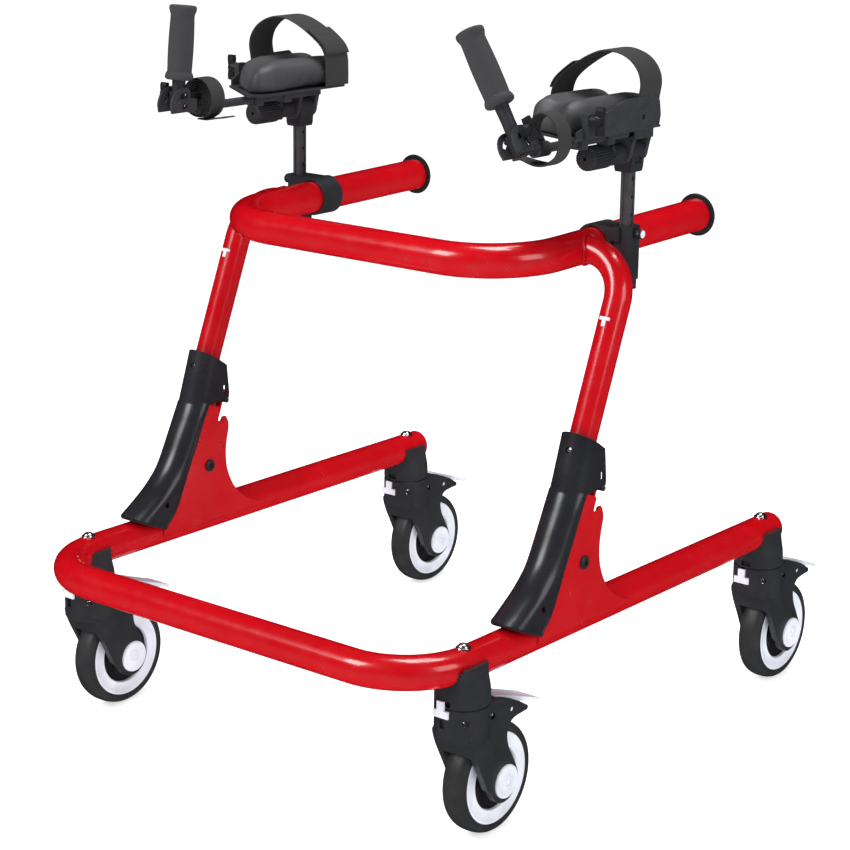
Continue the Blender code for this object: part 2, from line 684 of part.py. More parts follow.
RIGHT_GRIP = (0.2600, 0.1190, 0.0545, 31.0, 0.0, FIT)
LEFT_GRIP = (0.2160, 0.1020, 0.0345, 0.0, -6.0, 0.0080)
RIGHT_PLATFORM = (0.2350, 0.0, 0.1560, 0.1300)
LEFT_PLATFORM = (0.2300, 0.0200, 0.1120, 0.1670)
ARMS = (Arm("right", 1, 0.3260, RIGHT_PLATFORM, 0.1340, RIGHT_GRIP),
        Arm("left", -1, 0.3380, LEFT_PLATFORM, 0.0900, LEFT_GRIP))


def post_section(x, y, half, chamfer):
    """Square section with chamfered corners."""
    near = half - chamfer
    return [(x + half, y + near), (x + near, y + half), (x - near, y + half), (x - half, y + near),
            (x - half, y - near), (x - near, y - half), (x + near, y - half), (x + half, y - near)]


def post_clamp(arm):
    """Collar on the handlebar with a socket on its outer side for the post."""
    y = arm.post_y
    z = bar_z(y)
    bar_x = arm.side * BAR_X
    outer_r = BAR_TUBE_R + COLLAR_WALL
    ring = rod("Y", outer_r, (bar_x, z), y - COLLAR_LENGTH / 2, y + COLLAR_LENGTH / 2, 16)
    bridge_x = arm.span(0.0, POST_X - BAR_X - 0.002, bar_x)
    bridge = box(bridge_x, (y - 0.0165, y + 0.0165), (z, z + outer_r - 0.0008))
    socket = prism("Z", post_section(arm.post_x, y, SOCKET_HALF_Y, 0.0040), SOCKET_LOW_Z, SOCKET_TOP_Z)
    heel_x = arm.span(POST_HALF + FIT + 0.0002, SOCKET_HALF_Y - 0.0007, arm.post_x)
    heel = box(heel_x, (y - 0.0060, y + 0.0060), (SOCKET_LOW_Z - 0.0110, SOCKET_LOW_Z + 0.0100))
    tilt = math.degrees(math.atan(BAR_RISE))
    bore = rod("Y", BAR_TUBE_R + FIT + 0.0004, (bar_x, z), y - 0.03, y + 0.03, 16)
    bore = spun(bore, "X", (bar_x, y, z), tilt)
    well_section = post_section(arm.post_x, y, POST_HALF + FIT, POST_CHAMFER)
    well = prism("Z", well_section, SOCKET_LOW_Z - 0.02, SOCKET_TOP_Z + 0.01)
    pin_way = rod("X", PIN_R + FIT, (y, PIN_Z), *arm.span(0.0, 0.05, arm.post_x), 8)
    return merged(ring, [bridge, socket, heel], [bore, well, pin_way])


def post(arm):
    """Drilled square post."""
    section = post_section(arm.post_x, arm.post_y, POST_HALF, POST_CHAMFER)
    bar = prism("Z", section, POST_LOW_Z, TILT_Z - 0.0152)
    holes = []
    for k in range(-3, 4):
        z = PIN_Z + k * POST_HOLE_PITCH
        if POST_LOW_Z + 0.006 < z < TILT_Z - 0.024:
            holes.append(rod("X", POST_HOLE_R, (arm.post_y, z), arm.post_x - 0.02, arm.post_x + 0.02, 8))
    return merged(bar, [], holes)


def post_pin(arm):
    """Pull pin with a round knob on the socket's outer face."""
    x = arm.post_x
    start = POST_HALF + FIT
    face = SOCKET_HALF_Y + FIT
    profile = [(0.0, start), (PIN_R, start), (PIN_R, face), (0.0056, face), (0.0060, face + 0.0006)]
    profile += [(0.0060, face + 0.0085), (0.0050, face + 0.0095), (0.0, face + 0.0095)]
    return turned("X", [(r, x + arm.side * h) for r, h in profile], (arm.post_y, PIN_Z), 12)


def tilt_head(arm):
    """Block on top of the post that carries the tilt shaft."""
    x, y = arm.post_x, arm.post_y
    drum = rod("Y", TILT_R, (x, TILT_Z), y - HEAD_HALF_Y, y + HEAD_HALF_Y, 20)
    neck = box((x - 0.0115, x + 0.0115), (y - HEAD_HALF_Y, y + HEAD_HALF_Y), (0.6765, TILT_Z))
    well = prism("Z", post_section(x, y, POST_HALF + FIT, POST_CHAMFER), 0.66, TILT_Z - 0.0149)
    shaft = rod("Y", TILT_SHAFT_R + FIT, (x, TILT_Z), y - 0.05, y + 0.05, 12)
    window = box(arm.span(0.0100, 0.0200, x), (y - 0.0065, y + 0.0065), (0.6860, 0.6950))
    return merged(drum, [neck], [well, shaft, window])


def tilt_knob(arm):
    """Fluted clamp knob in front of the head, with its shaft through the ears."""
    x, y = arm.post_x, arm.post_y
    front, back = y - KNOB_FRONT, y - KNOB_BACK
    profile = [(0.0022, 0.0022, front + 0.0060), (0.0022, 0.0022, front)]
    profile += [(KNOB_R - 0.0030, KNOB_R - 0.0040, front)]
    profile += [(KNOB_R, KNOB_R - 0.0014, front + 0.0018), (KNOB_R, KNOB_R - 0.0014, back)]
    profile += [(0.0100, 0.0100, back + 0.0010), (0.0100, 0.0100, y - HEAD_HALF_Y - 0.0080)]
    profile += [(TILT_SHAFT_R, TILT_SHAFT_R, y - HEAD_HALF_Y - 0.0080)]
    profile += [(TILT_SHAFT_R, TILT_SHAFT_R, y + HEAD_HALF_Y + 0.0085)]
    rings = []
    for crest, valley, station in profile:
        ring = []
        for i in range(24):
            angle = math.pi * i / 12
            radius = crest if i % 2 else valley
            ring.append((x + radius * math.cos(angle), station, TILT_Z + radius * math.sin(angle)))
        rings.append(ring)
    return lofted(rings)


def platform_bracket(arm):
    """Ears on both faces of the tilt head and the boss under the platform."""
    x, y = arm.post_x, arm.post_y
    low = y - HEAD_HALF_Y - FIT
    high = y + HEAD_HALF_Y + FIT
    ear = arc((x, TILT_Z), TILT_R - 0.0005, 180, 360, 10) + [(x + 0.0190, 0.7240), (x + 0.0190, 0.7300)]
    ear += [(x - 0.0190, 0.7300), (x - 0.0190, 0.7240)]
    front = prism("Y", ear, low - 0.0060, low)
    rear = prism("Y", ear, high, high + 0.0060)
    slab = box((x - 0.0190, x + 0.0190), (low - 0.0060, high + 0.0060), (0.7145, 0.7300))
    shaft = rod("Y", TILT_SHAFT_R + FIT, (x, TILT_Z), y - 0.05, y + 0.05, 12)
    return merged(front, [rear, slab], [shaft])


def arm_plate(arm):
    """Sheet platform with an upright outer flange, its tilt bracket and the rod guides."""
    y = arm.seat_y
    front, back = y - arm.nose_out, y + PLATFORM_BACK
    inner_front = y - arm.nose_in
    top = PLATFORM_Z + PLATFORM_T
    flange_in = CUSHION_HALF + STRAP_T + 0.0008
    flange_out = flange_in + 0.0025
    inner_edge = -CUSHION_HALF
    corner = 0.0120
    outline = [(arm.x_out(flange_out), front), (arm.x_out(flange_out), back)]
    outline += [(arm.x_out(inner_edge + corner), back), (arm.x_out(inner_edge), back - corner)]
    outline += [(arm.x_out(inner_edge), inner_front + corner), (arm.x_out(inner_edge + corner), inner_front)]
    floor = prism("Z", outline, PLATFORM_Z, top)
    middle = -0.0620 - 0.45 * (arm.nose_out - 0.0620)
    side = [(front + 0.0030, PLATFORM_Z), (front + 0.0030, 0.7375)]
    side += [(y + middle, 0.7520), (y - 0.0620, 0.7640)]
    side += [(y - 0.0060, 0.7650), (y + 0.0020, 0.7580), (back, 0.7420), (back - 0.0030, PLATFORM_Z)]
    flange = prism("X", side, *arm.span(flange_in, flange_out))
    hole = rod("X", 0.0032, (y - 0.0285, 0.7425), *arm.span(flange_in - 0.01, flange_out + 0.01), 12)
    guides = []
    for station in (arm.post_y - 0.1200, arm.post_y - 0.0700):
        x_range = (arm.rod_x - 0.0080, arm.rod_x + 0.0080)
        guides.append(box(x_range, (station, station + 0.0120), (0.7145, PLATFORM_Z + 0.0005)))
    lug_y = (arm.knob_y - 0.0070, arm.knob_y + 0.0070)
    lug = box(arm.span(flange_in + 0.0008, 0.0545), lug_y, (0.7310, 0.7560))
    rod_way = rod("Y", ROD_R + FIT, (arm.rod_x, ROD_Z), y - 0.2, back + 0.05, 12)
    screw_way = rod("X", 0.0032, (arm.knob_y, ROD_KNOB_Z), *arm.span(flange_in + 0.0015, 0.08), 12)
    return merged(floor, [flange, platform_bracket(arm), lug] + guides, [hole, rod_way, screw_way])


def cushion(arm):
    """Crowned pad with a channel along its middle."""
    low = PLATFORM_Z + PLATFORM_T + FIT
    section = [(-0.0430, 0.0), (0.0430, 0.0), (0.0438, 0.0130), (0.0395, 0.0300), (0.0290, 0.0362)]
    section += [(0.0130, 0.0275), (0.0, 0.0240), (-0.0130, 0.0275), (-0.0290, 0.0362), (-0.0395, 0.0300)]
    section += [(-0.0438, 0.0130)]
    outer_front, inner_front = -arm.nose_out - 0.0020, -arm.nose_in - 0.0020
    stations = [(0.0, 0.50, 0.45), (0.0040, 0.70, 0.70), (0.0150, 0.90, 0.92), (0.0350, 1.0, 1.0)]
    stations += [(0.9, 1.0, 1.0), (0.95, 0.94, 0.92), (0.98, 0.80, 0.70), (1.0, 0.62, 0.45)]
    rings = []
    for along, wide, tall in stations:
        ring = []
        for dx, dz in section:
            share = 0.5 + dx * wide / (2 * CUSHION_HALF)
            nose = inner_front + (outer_front - inner_front) * share
            span_y = CUSHION_BACK - nose
            offset = nose + (along if along < 0.5 else along * span_y)
            ring.append((arm.x_out(dx * wide), arm.seat_y + offset, low + dz * tall))
        rings.append(ring)
    return lofted(rings)


def strap_arch():
    """Centre line of the forearm strap in the XZ plane, from outer to inner foot."""
    foot = CUSHION_HALF + 0.0004 + STRAP_T / 2
    low = PLATFORM_Z + PLATFORM_T + FIT
    return [(foot, low), (foot, 0.7675), (0.0510, 0.7820), (0.0470, 0.7930), (0.0360, 0.8060),
            (0.0200, 0.8138), (0.0, 0.8155), (-0.0200, 0.8135), (-0.0360, 0.8055), (-0.0470, 0.7930),
            (-0.0510, 0.7820), (-foot, 0.7675), (-foot, low)]


def ribbon(points, thickness):
    """A closed outline that follows a polyline at half the thickness on each side."""
    sides = ([], [])
    for i, spot in enumerate(points):
        spot = Vector(spot)
        before = Vector(points[max(i - 1, 0)])
        after = Vector(points[min(i + 1, len(points) - 1)])
        forward = (after - before).normalized()
        normal = Vector((-forward[1], forward[0])) * thickness / 2
        sides[0].append(tuple(spot + normal))
        sides[1].append(tuple(spot - normal))
    return sides[0] + sides[1][::-1]


def forearm_strap(arm):
    """Wide strap that loops over the forearm, with its +X foot behind its other foot."""
    outline = [(arm.x_out(dx), z) for dx, z in ribbon(strap_arch(), STRAP_T)]
    middle = arm.seat_y - STRAP_CENTRE
    verts, faces = prism("Y", outline, middle - STRAP_WIDTH / 2, middle + STRAP_WIDTH / 2)
    slope = STRAP_SLANT / CUSHION_HALF
    return [(x, y + slope * (x - arm.centre_x), z) for x, y, z in verts], faces


def wrist_strap(arm):
    """Wrist strap carried on the rod: a loose open band, or a tight roll with a tail."""
    centre = (arm.rod_x, ROD_Z)
    low = arm.strap_y
    hole = rod("Y", ROD_R + FIT, centre, low - 0.01, low + 0.04, 12)
    if arm.tag == "left":
        roll_centre = (centre[0] + 0.0030, centre[1] + 0.0110)
        roll = rod("Y", 0.0250, roll_centre, low, low + STRAP_BAND, 24)
        tail = [(0.0, -0.0250), (0.0160, -0.0235), (0.0300, -0.0200), (0.0400, -0.0185)]
        band = ribbon([(roll_centre[0] + a, roll_centre[1] + b) for a, b in tail], 0.0040)
        return merged(roll, [prism("Y", band, low + 0.0005, low + STRAP_BAND - 0.0005)], [hole])
    turns = [(-0.0010, 0.0066), (-0.0080, 0.0200), (-0.0040, 0.0310), (0.0060, 0.0385), (0.0170, 0.0370)]
    turns += [(0.0260, 0.0290), (0.0305, 0.0180), (0.0310, 0.0060), (0.0265, -0.0050), (0.0170, -0.0125)]
    turns += [(0.0050, -0.0155), (-0.0080, -0.0145), (-0.0220, -0.0120), (-0.0340, -0.0150)]
    band = ribbon([(centre[0] + a, centre[1] + b) for a, b in turns], 0.0024)
    spiral = prism("Y", band, low, low + STRAP_BAND)
    core = rod("Y", 0.0085, centre, low, low + STRAP_BAND, 12)
    return merged(spiral, [core], [hole])


def rolled(arm, shape):
    """A shape turned about the rod's axis to the arm's stored roll."""
    return spun(shape, "Y", (arm.rod_x, arm.grip_y, ROD_Z), -arm.side * arm.roll_deg)


def grip_pivot(arm):
    """The grip's hinge point before the roll."""
    return (arm.grip_y - 0.0080, ROD_Z + GRIP_PIVOT_RISE)


def clevis_plate(arm, low, high):
    """Quarter-round plate with an arched slot about the grip's pivot."""
    y, z = grip_pivot(arm)
    outline = [(y + 0.0080, z - 0.0068), (y + 0.0095, z + 0.0020), (y + 0.0095, z + 0.0155)]
    outline += arc((y, z), 0.0215, 72, 176, 7) + [(y - 0.0200, z - 0.0068)]
    plate = prism("X", outline, low, high)
    inner = arc((y, z), GRIP_SLOT_R - 0.0030, 64, 158, 8)
    outer = arc((y, z), GRIP_SLOT_R + 0.0030, 158, 64, 8)
    slot = prism("X", inner + outer, low - 0.01, high + 0.01)
    bore = rod("X", 0.0030, (y, z), low - 0.01, high + 0.01, 12)
    return plate, [slot, bore]


def grip_rod(arm):
    """Sliding rod with the clevis that holds the hand grip."""
    x = arm.rod_x
    y, z = grip_pivot(arm)
    bar = rod("Y", ROD_R, (x, ROD_Z), y + 0.0175, arm.post_y - 0.0260, 12)
    clevis_outer = CLEVIS_INNER + CLEVIS_T
    yoke = box((x - clevis_outer, x + clevis_outer), (y + 0.0093, y + 0.0200), (z - 0.0068, z + 0.0070))
    pieces = [yoke]
    cuts = []
    for low in (x - CLEVIS_INNER - CLEVIS_T, x + CLEVIS_INNER):
        plate, holes = clevis_plate(arm, low, low + CLEVIS_T)
        pieces.append(plate)
        cuts += holes
    return rolled(arm, merged(bar, pieces, cuts))


def hand_grip(arm):
    """Upright grip on a stem whose forked foot turns on the clevis pivot."""
    x = arm.rod_x
    y, z = grip_pivot(arm)
    low = ROD_Z + arm.grip_low
    profile = [(0.0, z + 0.0070), (0.0078, z + 0.0070), (0.0078, low - 0.0004), (GRIP_R + 0.0012, low)]
    top = low + GRIP_LENGTH
    profile += [(GRIP_R + 0.0022, low + 0.0030), (GRIP_R + 0.0012, low + 0.0070)]
    profile += [(GRIP_R - 0.0004, low + 0.0120), (GRIP_R + 0.0006, low + 0.0400)]
    profile += [(GRIP_R - 0.0010, top - 0.0120), (GRIP_R + 0.0012, top - 0.0050)]
    profile += [(GRIP_R + 0.0008, top - 0.0015), (GRIP_R - 0.0020, top), (0.0, top)]
    body = turned("Z", profile, (x, y), 16)
    half = CLEVIS_INNER - FIT
    foot = [(y - 0.0065, z + 0.0160)] + arc((y, z), 0.0062, 180, 360, 8) + [(y + 0.0065, z + 0.0160)]
    tongue = prism("X", foot, x - half, x + half)
    pin_half = CLEVIS_INNER + CLEVIS_T + 0.0022
    pin = rod("X", 0.0028, (y, z), x - pin_half, x + pin_half, 12)
    screw_way = rod("X", 0.0026, (y, z + GRIP_SLOT_R), x - 0.03, x + 0.03, 12)
    upright = merged(body, [tongue, pin], [screw_way])
    return rolled(arm, spun(upright, "X", (x, y, z), arm.lean_deg))


def wing_knob(axis_y, axis_z, start, side, shank_r, shank_end, reach=0.0150):
    """A hub with two wings on a shank along X; start is where the hub begins."""
    hub_profile = [(0.0, start), (0.0062, start), (0.0068, start + side * 0.0080)]
    hub_profile += [(0.0050, start + side * 0.0130), (0.0, start + side * 0.0130)]
    hub = turned("X", hub_profile, (axis_y, axis_z), 12)
    wings = []
    for way in (1, -1):
        root, shoulder, tip = (axis_z + way * out for out in (0.0030, reach - 0.0040, reach))
        outline = [(axis_y - 0.0022, root), (axis_y + 0.0022, root), (axis_y + 0.0030, shoulder)]
        outline += [(axis_y + 0.0022, tip), (axis_y - 0.0022, tip), (axis_y - 0.0030, shoulder)]
        low, high = sorted((start + side * 0.0060, start + side * 0.0150))
        wings.append(prism("X", outline, low, high))
    low, high = sorted((start + side * 0.0020, shank_end))
    shank = rod("X", shank_r, (axis_y, axis_z), low, high, 12)
    return merged(hub, wings + [shank])


def grip_knob(arm):
    """Wing knob that clamps the grip's angle through the slots."""
    x = arm.rod_x
    y, z = grip_pivot(arm)
    start = x + arm.side * (CLEVIS_INNER + CLEVIS_T + FIT)
    far = x - arm.side * (CLEVIS_INNER + CLEVIS_T + 0.0030)
    shape = wing_knob(y, z + GRIP_SLOT_R, start, arm.side, 0.0023, far, 0.0125)
    return rolled(arm, spun(shape, "X", (x, y, z), arm.lean_deg))


def rod_knob(arm):
    """Wing knob beside the platform's front end that locks the rod."""
    start = arm.x_out(0.0545 + FIT)
    return wing_knob(arm.knob_y, ROD_KNOB_Z, start, arm.side, 0.0028, arm.x_out(0.0500))


def build_arm(arm):
    """All thirteen pieces of one forearm support."""
    y = arm.post_y
    pivot_y, pivot_z = grip_pivot(arm)
    turn = Matrix.Rotation(math.radians(-arm.side * arm.roll_deg), 3, "Y")
    pivot = Vector((arm.rod_x, pivot_y, ROD_Z)) + turn @ Vector((0, 0, pivot_z - ROD_Z))
    screw_up = Matrix.Rotation(math.radians(arm.lean_deg), 3, "X") @ Vector((0, 0, GRIP_SLOT_R))
    screw = pivot + turn @ screw_up
    tag = "_" + arm.tag
    seat = (arm.centre_x, arm.seat_y, PLATFORM_Z)
    add_node("post_clamp" + tag, post_clamp(arm), BLACK, (arm.side * BAR_X, y, bar_z(y)))
    add_node("post" + tag, post(arm), DARK_METAL, (arm.post_x, y, SOCKET_TOP_Z))
    add_node("post_pin" + tag, post_pin(arm), BLACK, (arm.post_x, y, PIN_Z))
    add_node("tilt_head" + tag, tilt_head(arm), BLACK, (arm.post_x, y, TILT_Z))
    add_node("tilt_knob" + tag, tilt_knob(arm), BLACK, (arm.post_x, y, TILT_Z))
    add_node("arm_plate" + tag, arm_plate(arm), DARK_METAL, (arm.post_x, y, TILT_Z))
    add_node("cushion" + tag, cushion(arm), VINYL, seat)
    add_node("forearm_strap" + tag, forearm_strap(arm), WEBBING, seat)
    add_node("wrist_strap" + tag, wrist_strap(arm), WEBBING, (arm.rod_x, arm.grip_y, ROD_Z))
    add_node("grip_rod" + tag, grip_rod(arm), DARK_METAL, (arm.rod_x, arm.grip_y, ROD_Z))
    add_node("hand_grip" + tag, hand_grip(arm), GRIP_FOAM, tuple(pivot))
    add_node("grip_knob" + tag, grip_knob(arm), BLACK, tuple(screw))
    rod_knob_axis = (arm.x_out(0.0545), arm.knob_y, ROD_KNOB_Z)
    add_node("rod_knob" + tag, rod_knob(arm), BLACK, rod_knob_axis)


# ---------------------------------------------------------------- assembly
def build():
    """Make every piece of the walking frame."""
    for thing in list(bpy.data.objects):
        bpy.data.objects.remove(thing, do_unlink=True)
    add_node("base_frame", base_frame(), RED, (0.0, 0.0, RAIL_Z))
    for end in ("front", "rear"):
        for side in ("right", "left"):
            build_caster(end, side)
    add_node("upper_frame", upper_frame(), RED, (0.0, PIVOT_Y, PIVOT_Z))
    for side, tag in ((1, "_right"), (-1, "_left")):
        x = side * RAIL_X
        pin_y, pin_z = from_pivot(LATCH_OFFSET, LATCH_HIGH)
        add_node("leg_sleeve" + tag, leg_sleeve(x), BLACK, (x, PIVOT_Y, PIVOT_Z))
        add_node("pivot_bolt" + tag, pivot_bolt(x), BLACK, (x, PIVOT_Y, PIVOT_Z))
        add_node("latch_pin" + tag, latch_pin(x), BLACK, (x, pin_y, pin_z))
        add_node("handle_cap" + tag, handle_cap(side), BLACK, (side * BAR_X, BAR_END_Y, bar_z(BAR_END_Y)))
    for arm in ARMS:
        build_arm(arm)


build()
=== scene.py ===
"""Looks of the walking frame: paint, mouldings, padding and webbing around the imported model."""

import json
import logging
import math
from dataclasses import dataclass
from enum import Enum
from typing import Callable, Dict, Iterable, List, Optional, Sequence, Tuple, Union

import bmesh
import bpy
from mathutils import Matrix, Vector


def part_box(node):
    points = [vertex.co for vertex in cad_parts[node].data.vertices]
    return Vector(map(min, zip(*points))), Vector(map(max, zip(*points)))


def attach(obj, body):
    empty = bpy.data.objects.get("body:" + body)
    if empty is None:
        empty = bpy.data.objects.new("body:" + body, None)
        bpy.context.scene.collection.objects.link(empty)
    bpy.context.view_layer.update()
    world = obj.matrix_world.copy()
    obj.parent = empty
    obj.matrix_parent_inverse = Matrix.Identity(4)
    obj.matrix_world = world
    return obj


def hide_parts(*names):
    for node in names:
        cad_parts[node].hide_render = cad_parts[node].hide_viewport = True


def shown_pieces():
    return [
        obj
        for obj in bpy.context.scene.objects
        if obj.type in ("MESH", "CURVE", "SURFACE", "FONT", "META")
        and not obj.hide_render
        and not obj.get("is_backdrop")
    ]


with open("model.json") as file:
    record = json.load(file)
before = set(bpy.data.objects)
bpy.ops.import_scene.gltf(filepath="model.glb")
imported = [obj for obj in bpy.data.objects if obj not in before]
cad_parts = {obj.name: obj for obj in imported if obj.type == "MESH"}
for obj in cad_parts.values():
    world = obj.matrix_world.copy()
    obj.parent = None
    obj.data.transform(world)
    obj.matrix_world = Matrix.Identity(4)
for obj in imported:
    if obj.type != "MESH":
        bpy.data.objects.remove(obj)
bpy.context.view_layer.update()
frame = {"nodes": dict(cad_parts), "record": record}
LOG = logging.getLogger("walking_frame")

Point = Tuple[float, float, float]
Spot = Tuple[float, float]
Number = Union[int, float]


def joint(name: str) -> dict:
    """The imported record's entry for one joint.

    Args:
        name: The joint's name.

    Returns:
        Its entry, with its axis and place.
    """
    return next(j for j in frame["record"]["behaviour"]["joints"] if j["name"] == name)


ORIGIN_Y = joint("swivel_front_right")["pos_m"][1]
RAIL_X = joint("swivel_front_right")["pos_m"][0]
PIVOT = Vector(joint("fold")["pos_m"])


class Side(Enum):
    """The two sides of the frame; the value is the sign of X."""

    LEFT = -1
    RIGHT = 1

    @property
    def tag(self) -> str:
        """The side's name as node names end with it."""
        return self.name.lower()


class End(Enum):
    """The two ends of the base."""

    FRONT = "front"
    REAR = "rear"


# ------------------------------------------------------------------ shader writing
class Wire:
    """One output socket; arithmetic on it adds Math nodes."""

    def __init__(self, graph: "Graph", socket: bpy.types.NodeSocket) -> None:
        """Keep the socket and the graph that it belongs to."""
        self.graph = graph
        self.socket = socket

    def _math(self, operation: str, other: Union["Wire", Number], swap: bool = False) -> "Wire":
        """Add one Math node.

        Args:
            operation: The node's operation.
            other: The second operand.
            swap: True where the operands come the other way round.

        Returns:
            The node's result.
        """
        pair = [other, self] if swap else [self, other]
        return self.graph.node("ShaderNodeMath", {"operation": operation}, {0: pair[0], 1: pair[1]})

    def __mul__(self, other: Union["Wire", Number]) -> "Wire":
        """Product."""
        return self._math("MULTIPLY", other)

    __rmul__ = __mul__

    def __sub__(self, other: Union["Wire", Number]) -> "Wire":
        """Difference."""
        return self._math("SUBTRACT", other)

    def __rsub__(self, other: Union["Wire", Number]) -> "Wire":
        """Reflected difference."""
        return self._math("SUBTRACT", other, swap=True)


class Graph:
    """A material's node tree with short ways to add to it."""

    def __init__(self, material: bpy.types.Material) -> None:
        """Start from the material's Principled shader."""
        material.use_nodes = True
        self.tree = material.node_tree
        self.shader = self.tree.nodes["Principled BSDF"]

    def node(self, kind: str, settings: Optional[dict] = None, inputs: Optional[dict] = None,
             output: Union[int, str] = 0) -> Wire:
        """Add any node.

        Args:
            kind: The node's type.
            settings: Its properties, set before its sockets.
            inputs: Socket name or index to a value or a Wire.
            output: Which output to return.

        Returns:
            That output.
        """
        made = self.tree.nodes.new(kind)
        for key, value in (settings or {}).items():
            setattr(made, key, value)
        for key, value in (inputs or {}).items():
            if isinstance(value, Wire):
                self.tree.links.new(value.socket, made.inputs[key])
            else:
                made.inputs[key].default_value = value
        return Wire(self, made.outputs[output])

    def place(self) -> Wire:
        """Position on the piece in the model's own frame, in metres."""
        return self.node("ShaderNodeTexCoord", output="Object")

    def noise(self, per_metre: float, detail: float = 2.0, at: Optional[Wire] = None) -> Wire:
        """Grey noise with a given number of cells per metre."""
        inputs = {"Vector": at or self.place(), "Scale": per_metre, "Detail": detail}
        return self.node("ShaderNodeTexNoise", inputs=inputs)

    def range(self, value: Wire, low: float, high: float, new_low: float, new_high: float) -> Wire:
        """The value remapped and clamped from one range to another."""
        inputs = {"Value": value, "From Min": low, "From Max": high, "To Min": new_low, "To Max": new_high}
        return self.node("ShaderNodeMapRange", {"clamp": True}, inputs)

    def blend(self, amount: Union[Wire, Number], first: Union[Wire, tuple],
              second: Union[Wire, tuple]) -> Wire:
        """A colour between two, through a Mix node."""
        return self.node("ShaderNodeMix", {"data_type": "RGBA"}, {0: amount, 6: first, 7: second}, output=2)

    def bump(self, height: Wire, strength: float, distance: float, under: Optional[Wire] = None) -> Wire:
        """A surface normal from a height, on top of an earlier one."""
        inputs: dict = {"Height": height, "Strength": strength, "Distance": distance}
        if under is not None:
            inputs["Normal"] = under
        return self.node("ShaderNodeBump", inputs=inputs)

    def set(self, **sockets: Union[Wire, Number, tuple]) -> None:
        """Give the shader's sockets a value or a link; _ in a name stands for a space."""
        for key, value in sockets.items():
            target = self.shader.inputs[key.replace("_", " ")]
            if isinstance(value, Wire):
                self.tree.links.new(value.socket, target)
            else:
                target.default_value = value


Colour = Tuple[float, float, float]


def rgba(colour: Colour, gain: float = 1.0) -> Tuple[float, float, float, float]:
    """A colour with full alpha, lightened or darkened by a gain."""
    return (min(colour[0] * gain, 1.0), min(colour[1] * gain, 1.0), min(colour[2] * gain, 1.0), 1.0)


@dataclass(frozen=True)
class Finish:
    """A surface finish; each kind dresses a fresh graph."""

    name: str
    slot: str
    colour: Colour
    roughness: float = 0.5

    def dress(self, graph: Graph) -> None:
        """Fill the graph."""
        raise NotImplementedError

    def material(self) -> bpy.types.Material:
        """The finish's material, made on first use."""
        found = bpy.data.materials.get(self.name)
        if found is not None:
            return found
        made = bpy.data.materials.new(self.name)
        made.diffuse_color = rgba(self.colour)
        self.dress(Graph(made))
        return made


@dataclass(frozen=True)
class Enamel(Finish):
    """Thick glossy stove enamel over tube, with a faint orange peel."""

    peel: float = 420.0

    def dress(self, graph: Graph) -> None:
        """Fill the graph."""
        cloud = graph.range(graph.noise(9.0, 3.0), 0.35, 0.65, 0.0, 1.0)
        speck = graph.range(graph.noise(160.0, 4.0), 0.62, 0.76, 0.0, 0.20)
        base = graph.blend(cloud, rgba(self.colour, 0.93), rgba(self.colour, 1.04))
        colour = graph.blend(speck, base, rgba(self.colour, 0.80))
        rough = graph.range(graph.noise(60.0, 4.0), 0.3, 0.7, self.roughness * 0.82, self.roughness * 1.25)
        peel = graph.bump(graph.noise(self.peel, 1.0), 0.10, 0.0006)
        graph.set(Base_Color=colour, Roughness=rough, Normal=peel, Coat_Weight=0.45, Coat_Roughness=0.08,
                  IOR=1.5)


@dataclass(frozen=True)
class Moulding(Finish):
    """Injection-moulded plastic with spark grain, faint flow clouds and polished high spots."""

    grain: float = 2200.0
    depth: float = 0.22

    def dress(self, graph: Graph) -> None:
        """Fill the graph."""
        flow = graph.range(graph.noise(26.0, 4.0), 0.3, 0.7, 0.0, 1.0)
        scuff = graph.range(graph.noise(420.0, 5.0), 0.63, 0.72, 0.0, 0.5)
        base = graph.blend(flow, rgba(self.colour, 0.86), rgba(self.colour, 1.12))
        colour = graph.blend(scuff, base, rgba(self.colour, 1.5))
        rough = graph.range(flow, 0.0, 1.0, self.roughness * 0.86, self.roughness * 1.12) - scuff * 0.08
        fine = graph.bump(graph.noise(self.grain, 2.0), self.depth, 0.0002)
        broad = graph.bump(graph.noise(90.0, 2.0), 0.10, 0.0006, under=fine)
        graph.set(Base_Color=colour, Roughness=rough, Normal=broad, IOR=1.48)


@dataclass(frozen=True)
class Metal(Finish):
    """Plated or anodised metal with drawn lines along one direction."""

    metallic: float = 1.0
    lines: Point = (60.0, 60.0, 4.0)

    def dress(self, graph: Graph) -> None:
        """Fill the graph."""
        stretched = graph.node("ShaderNodeVectorMath", {"operation": "MULTIPLY"},
                               {0: graph.place(), 1: self.lines})
        drawn = graph.noise(30.0, 4.0, at=stretched)
        stain = graph.range(graph.noise(70.0, 4.0), 0.35, 0.7, 0.0, 1.0)
        colour = graph.blend(stain, rgba(self.colour, 0.85), rgba(self.colour, 1.12))
        rough = graph.range(drawn, 0.3, 0.7, self.roughness * 0.75, self.roughness * 1.3)
        graph.set(Base_Color=colour, Roughness=rough, Normal=graph.bump(drawn, 0.08, 0.0002),
                  Metallic=self.metallic)


@dataclass(frozen=True)
class Tread(Finish):
    """Tyre rubber, greyer and duller where dust has settled."""

    def dress(self, graph: Graph) -> None:
        """Fill the graph."""
        dust = graph.range(graph.noise(55.0, 5.0), 0.42, 0.72, 0.0, 0.55)
        colour = graph.blend(dust, rgba(self.colour), rgba((0.042, 0.042, 0.043)))
        rough = graph.range(graph.noise(300.0, 3.0), 0.3, 0.7, self.roughness * 0.85, 1.1 * self.roughness)
        skin = graph.bump(graph.noise(1500.0, 3.0), 0.25, 0.0002)
        graph.set(Base_Color=colour, Roughness=rough, Normal=skin)


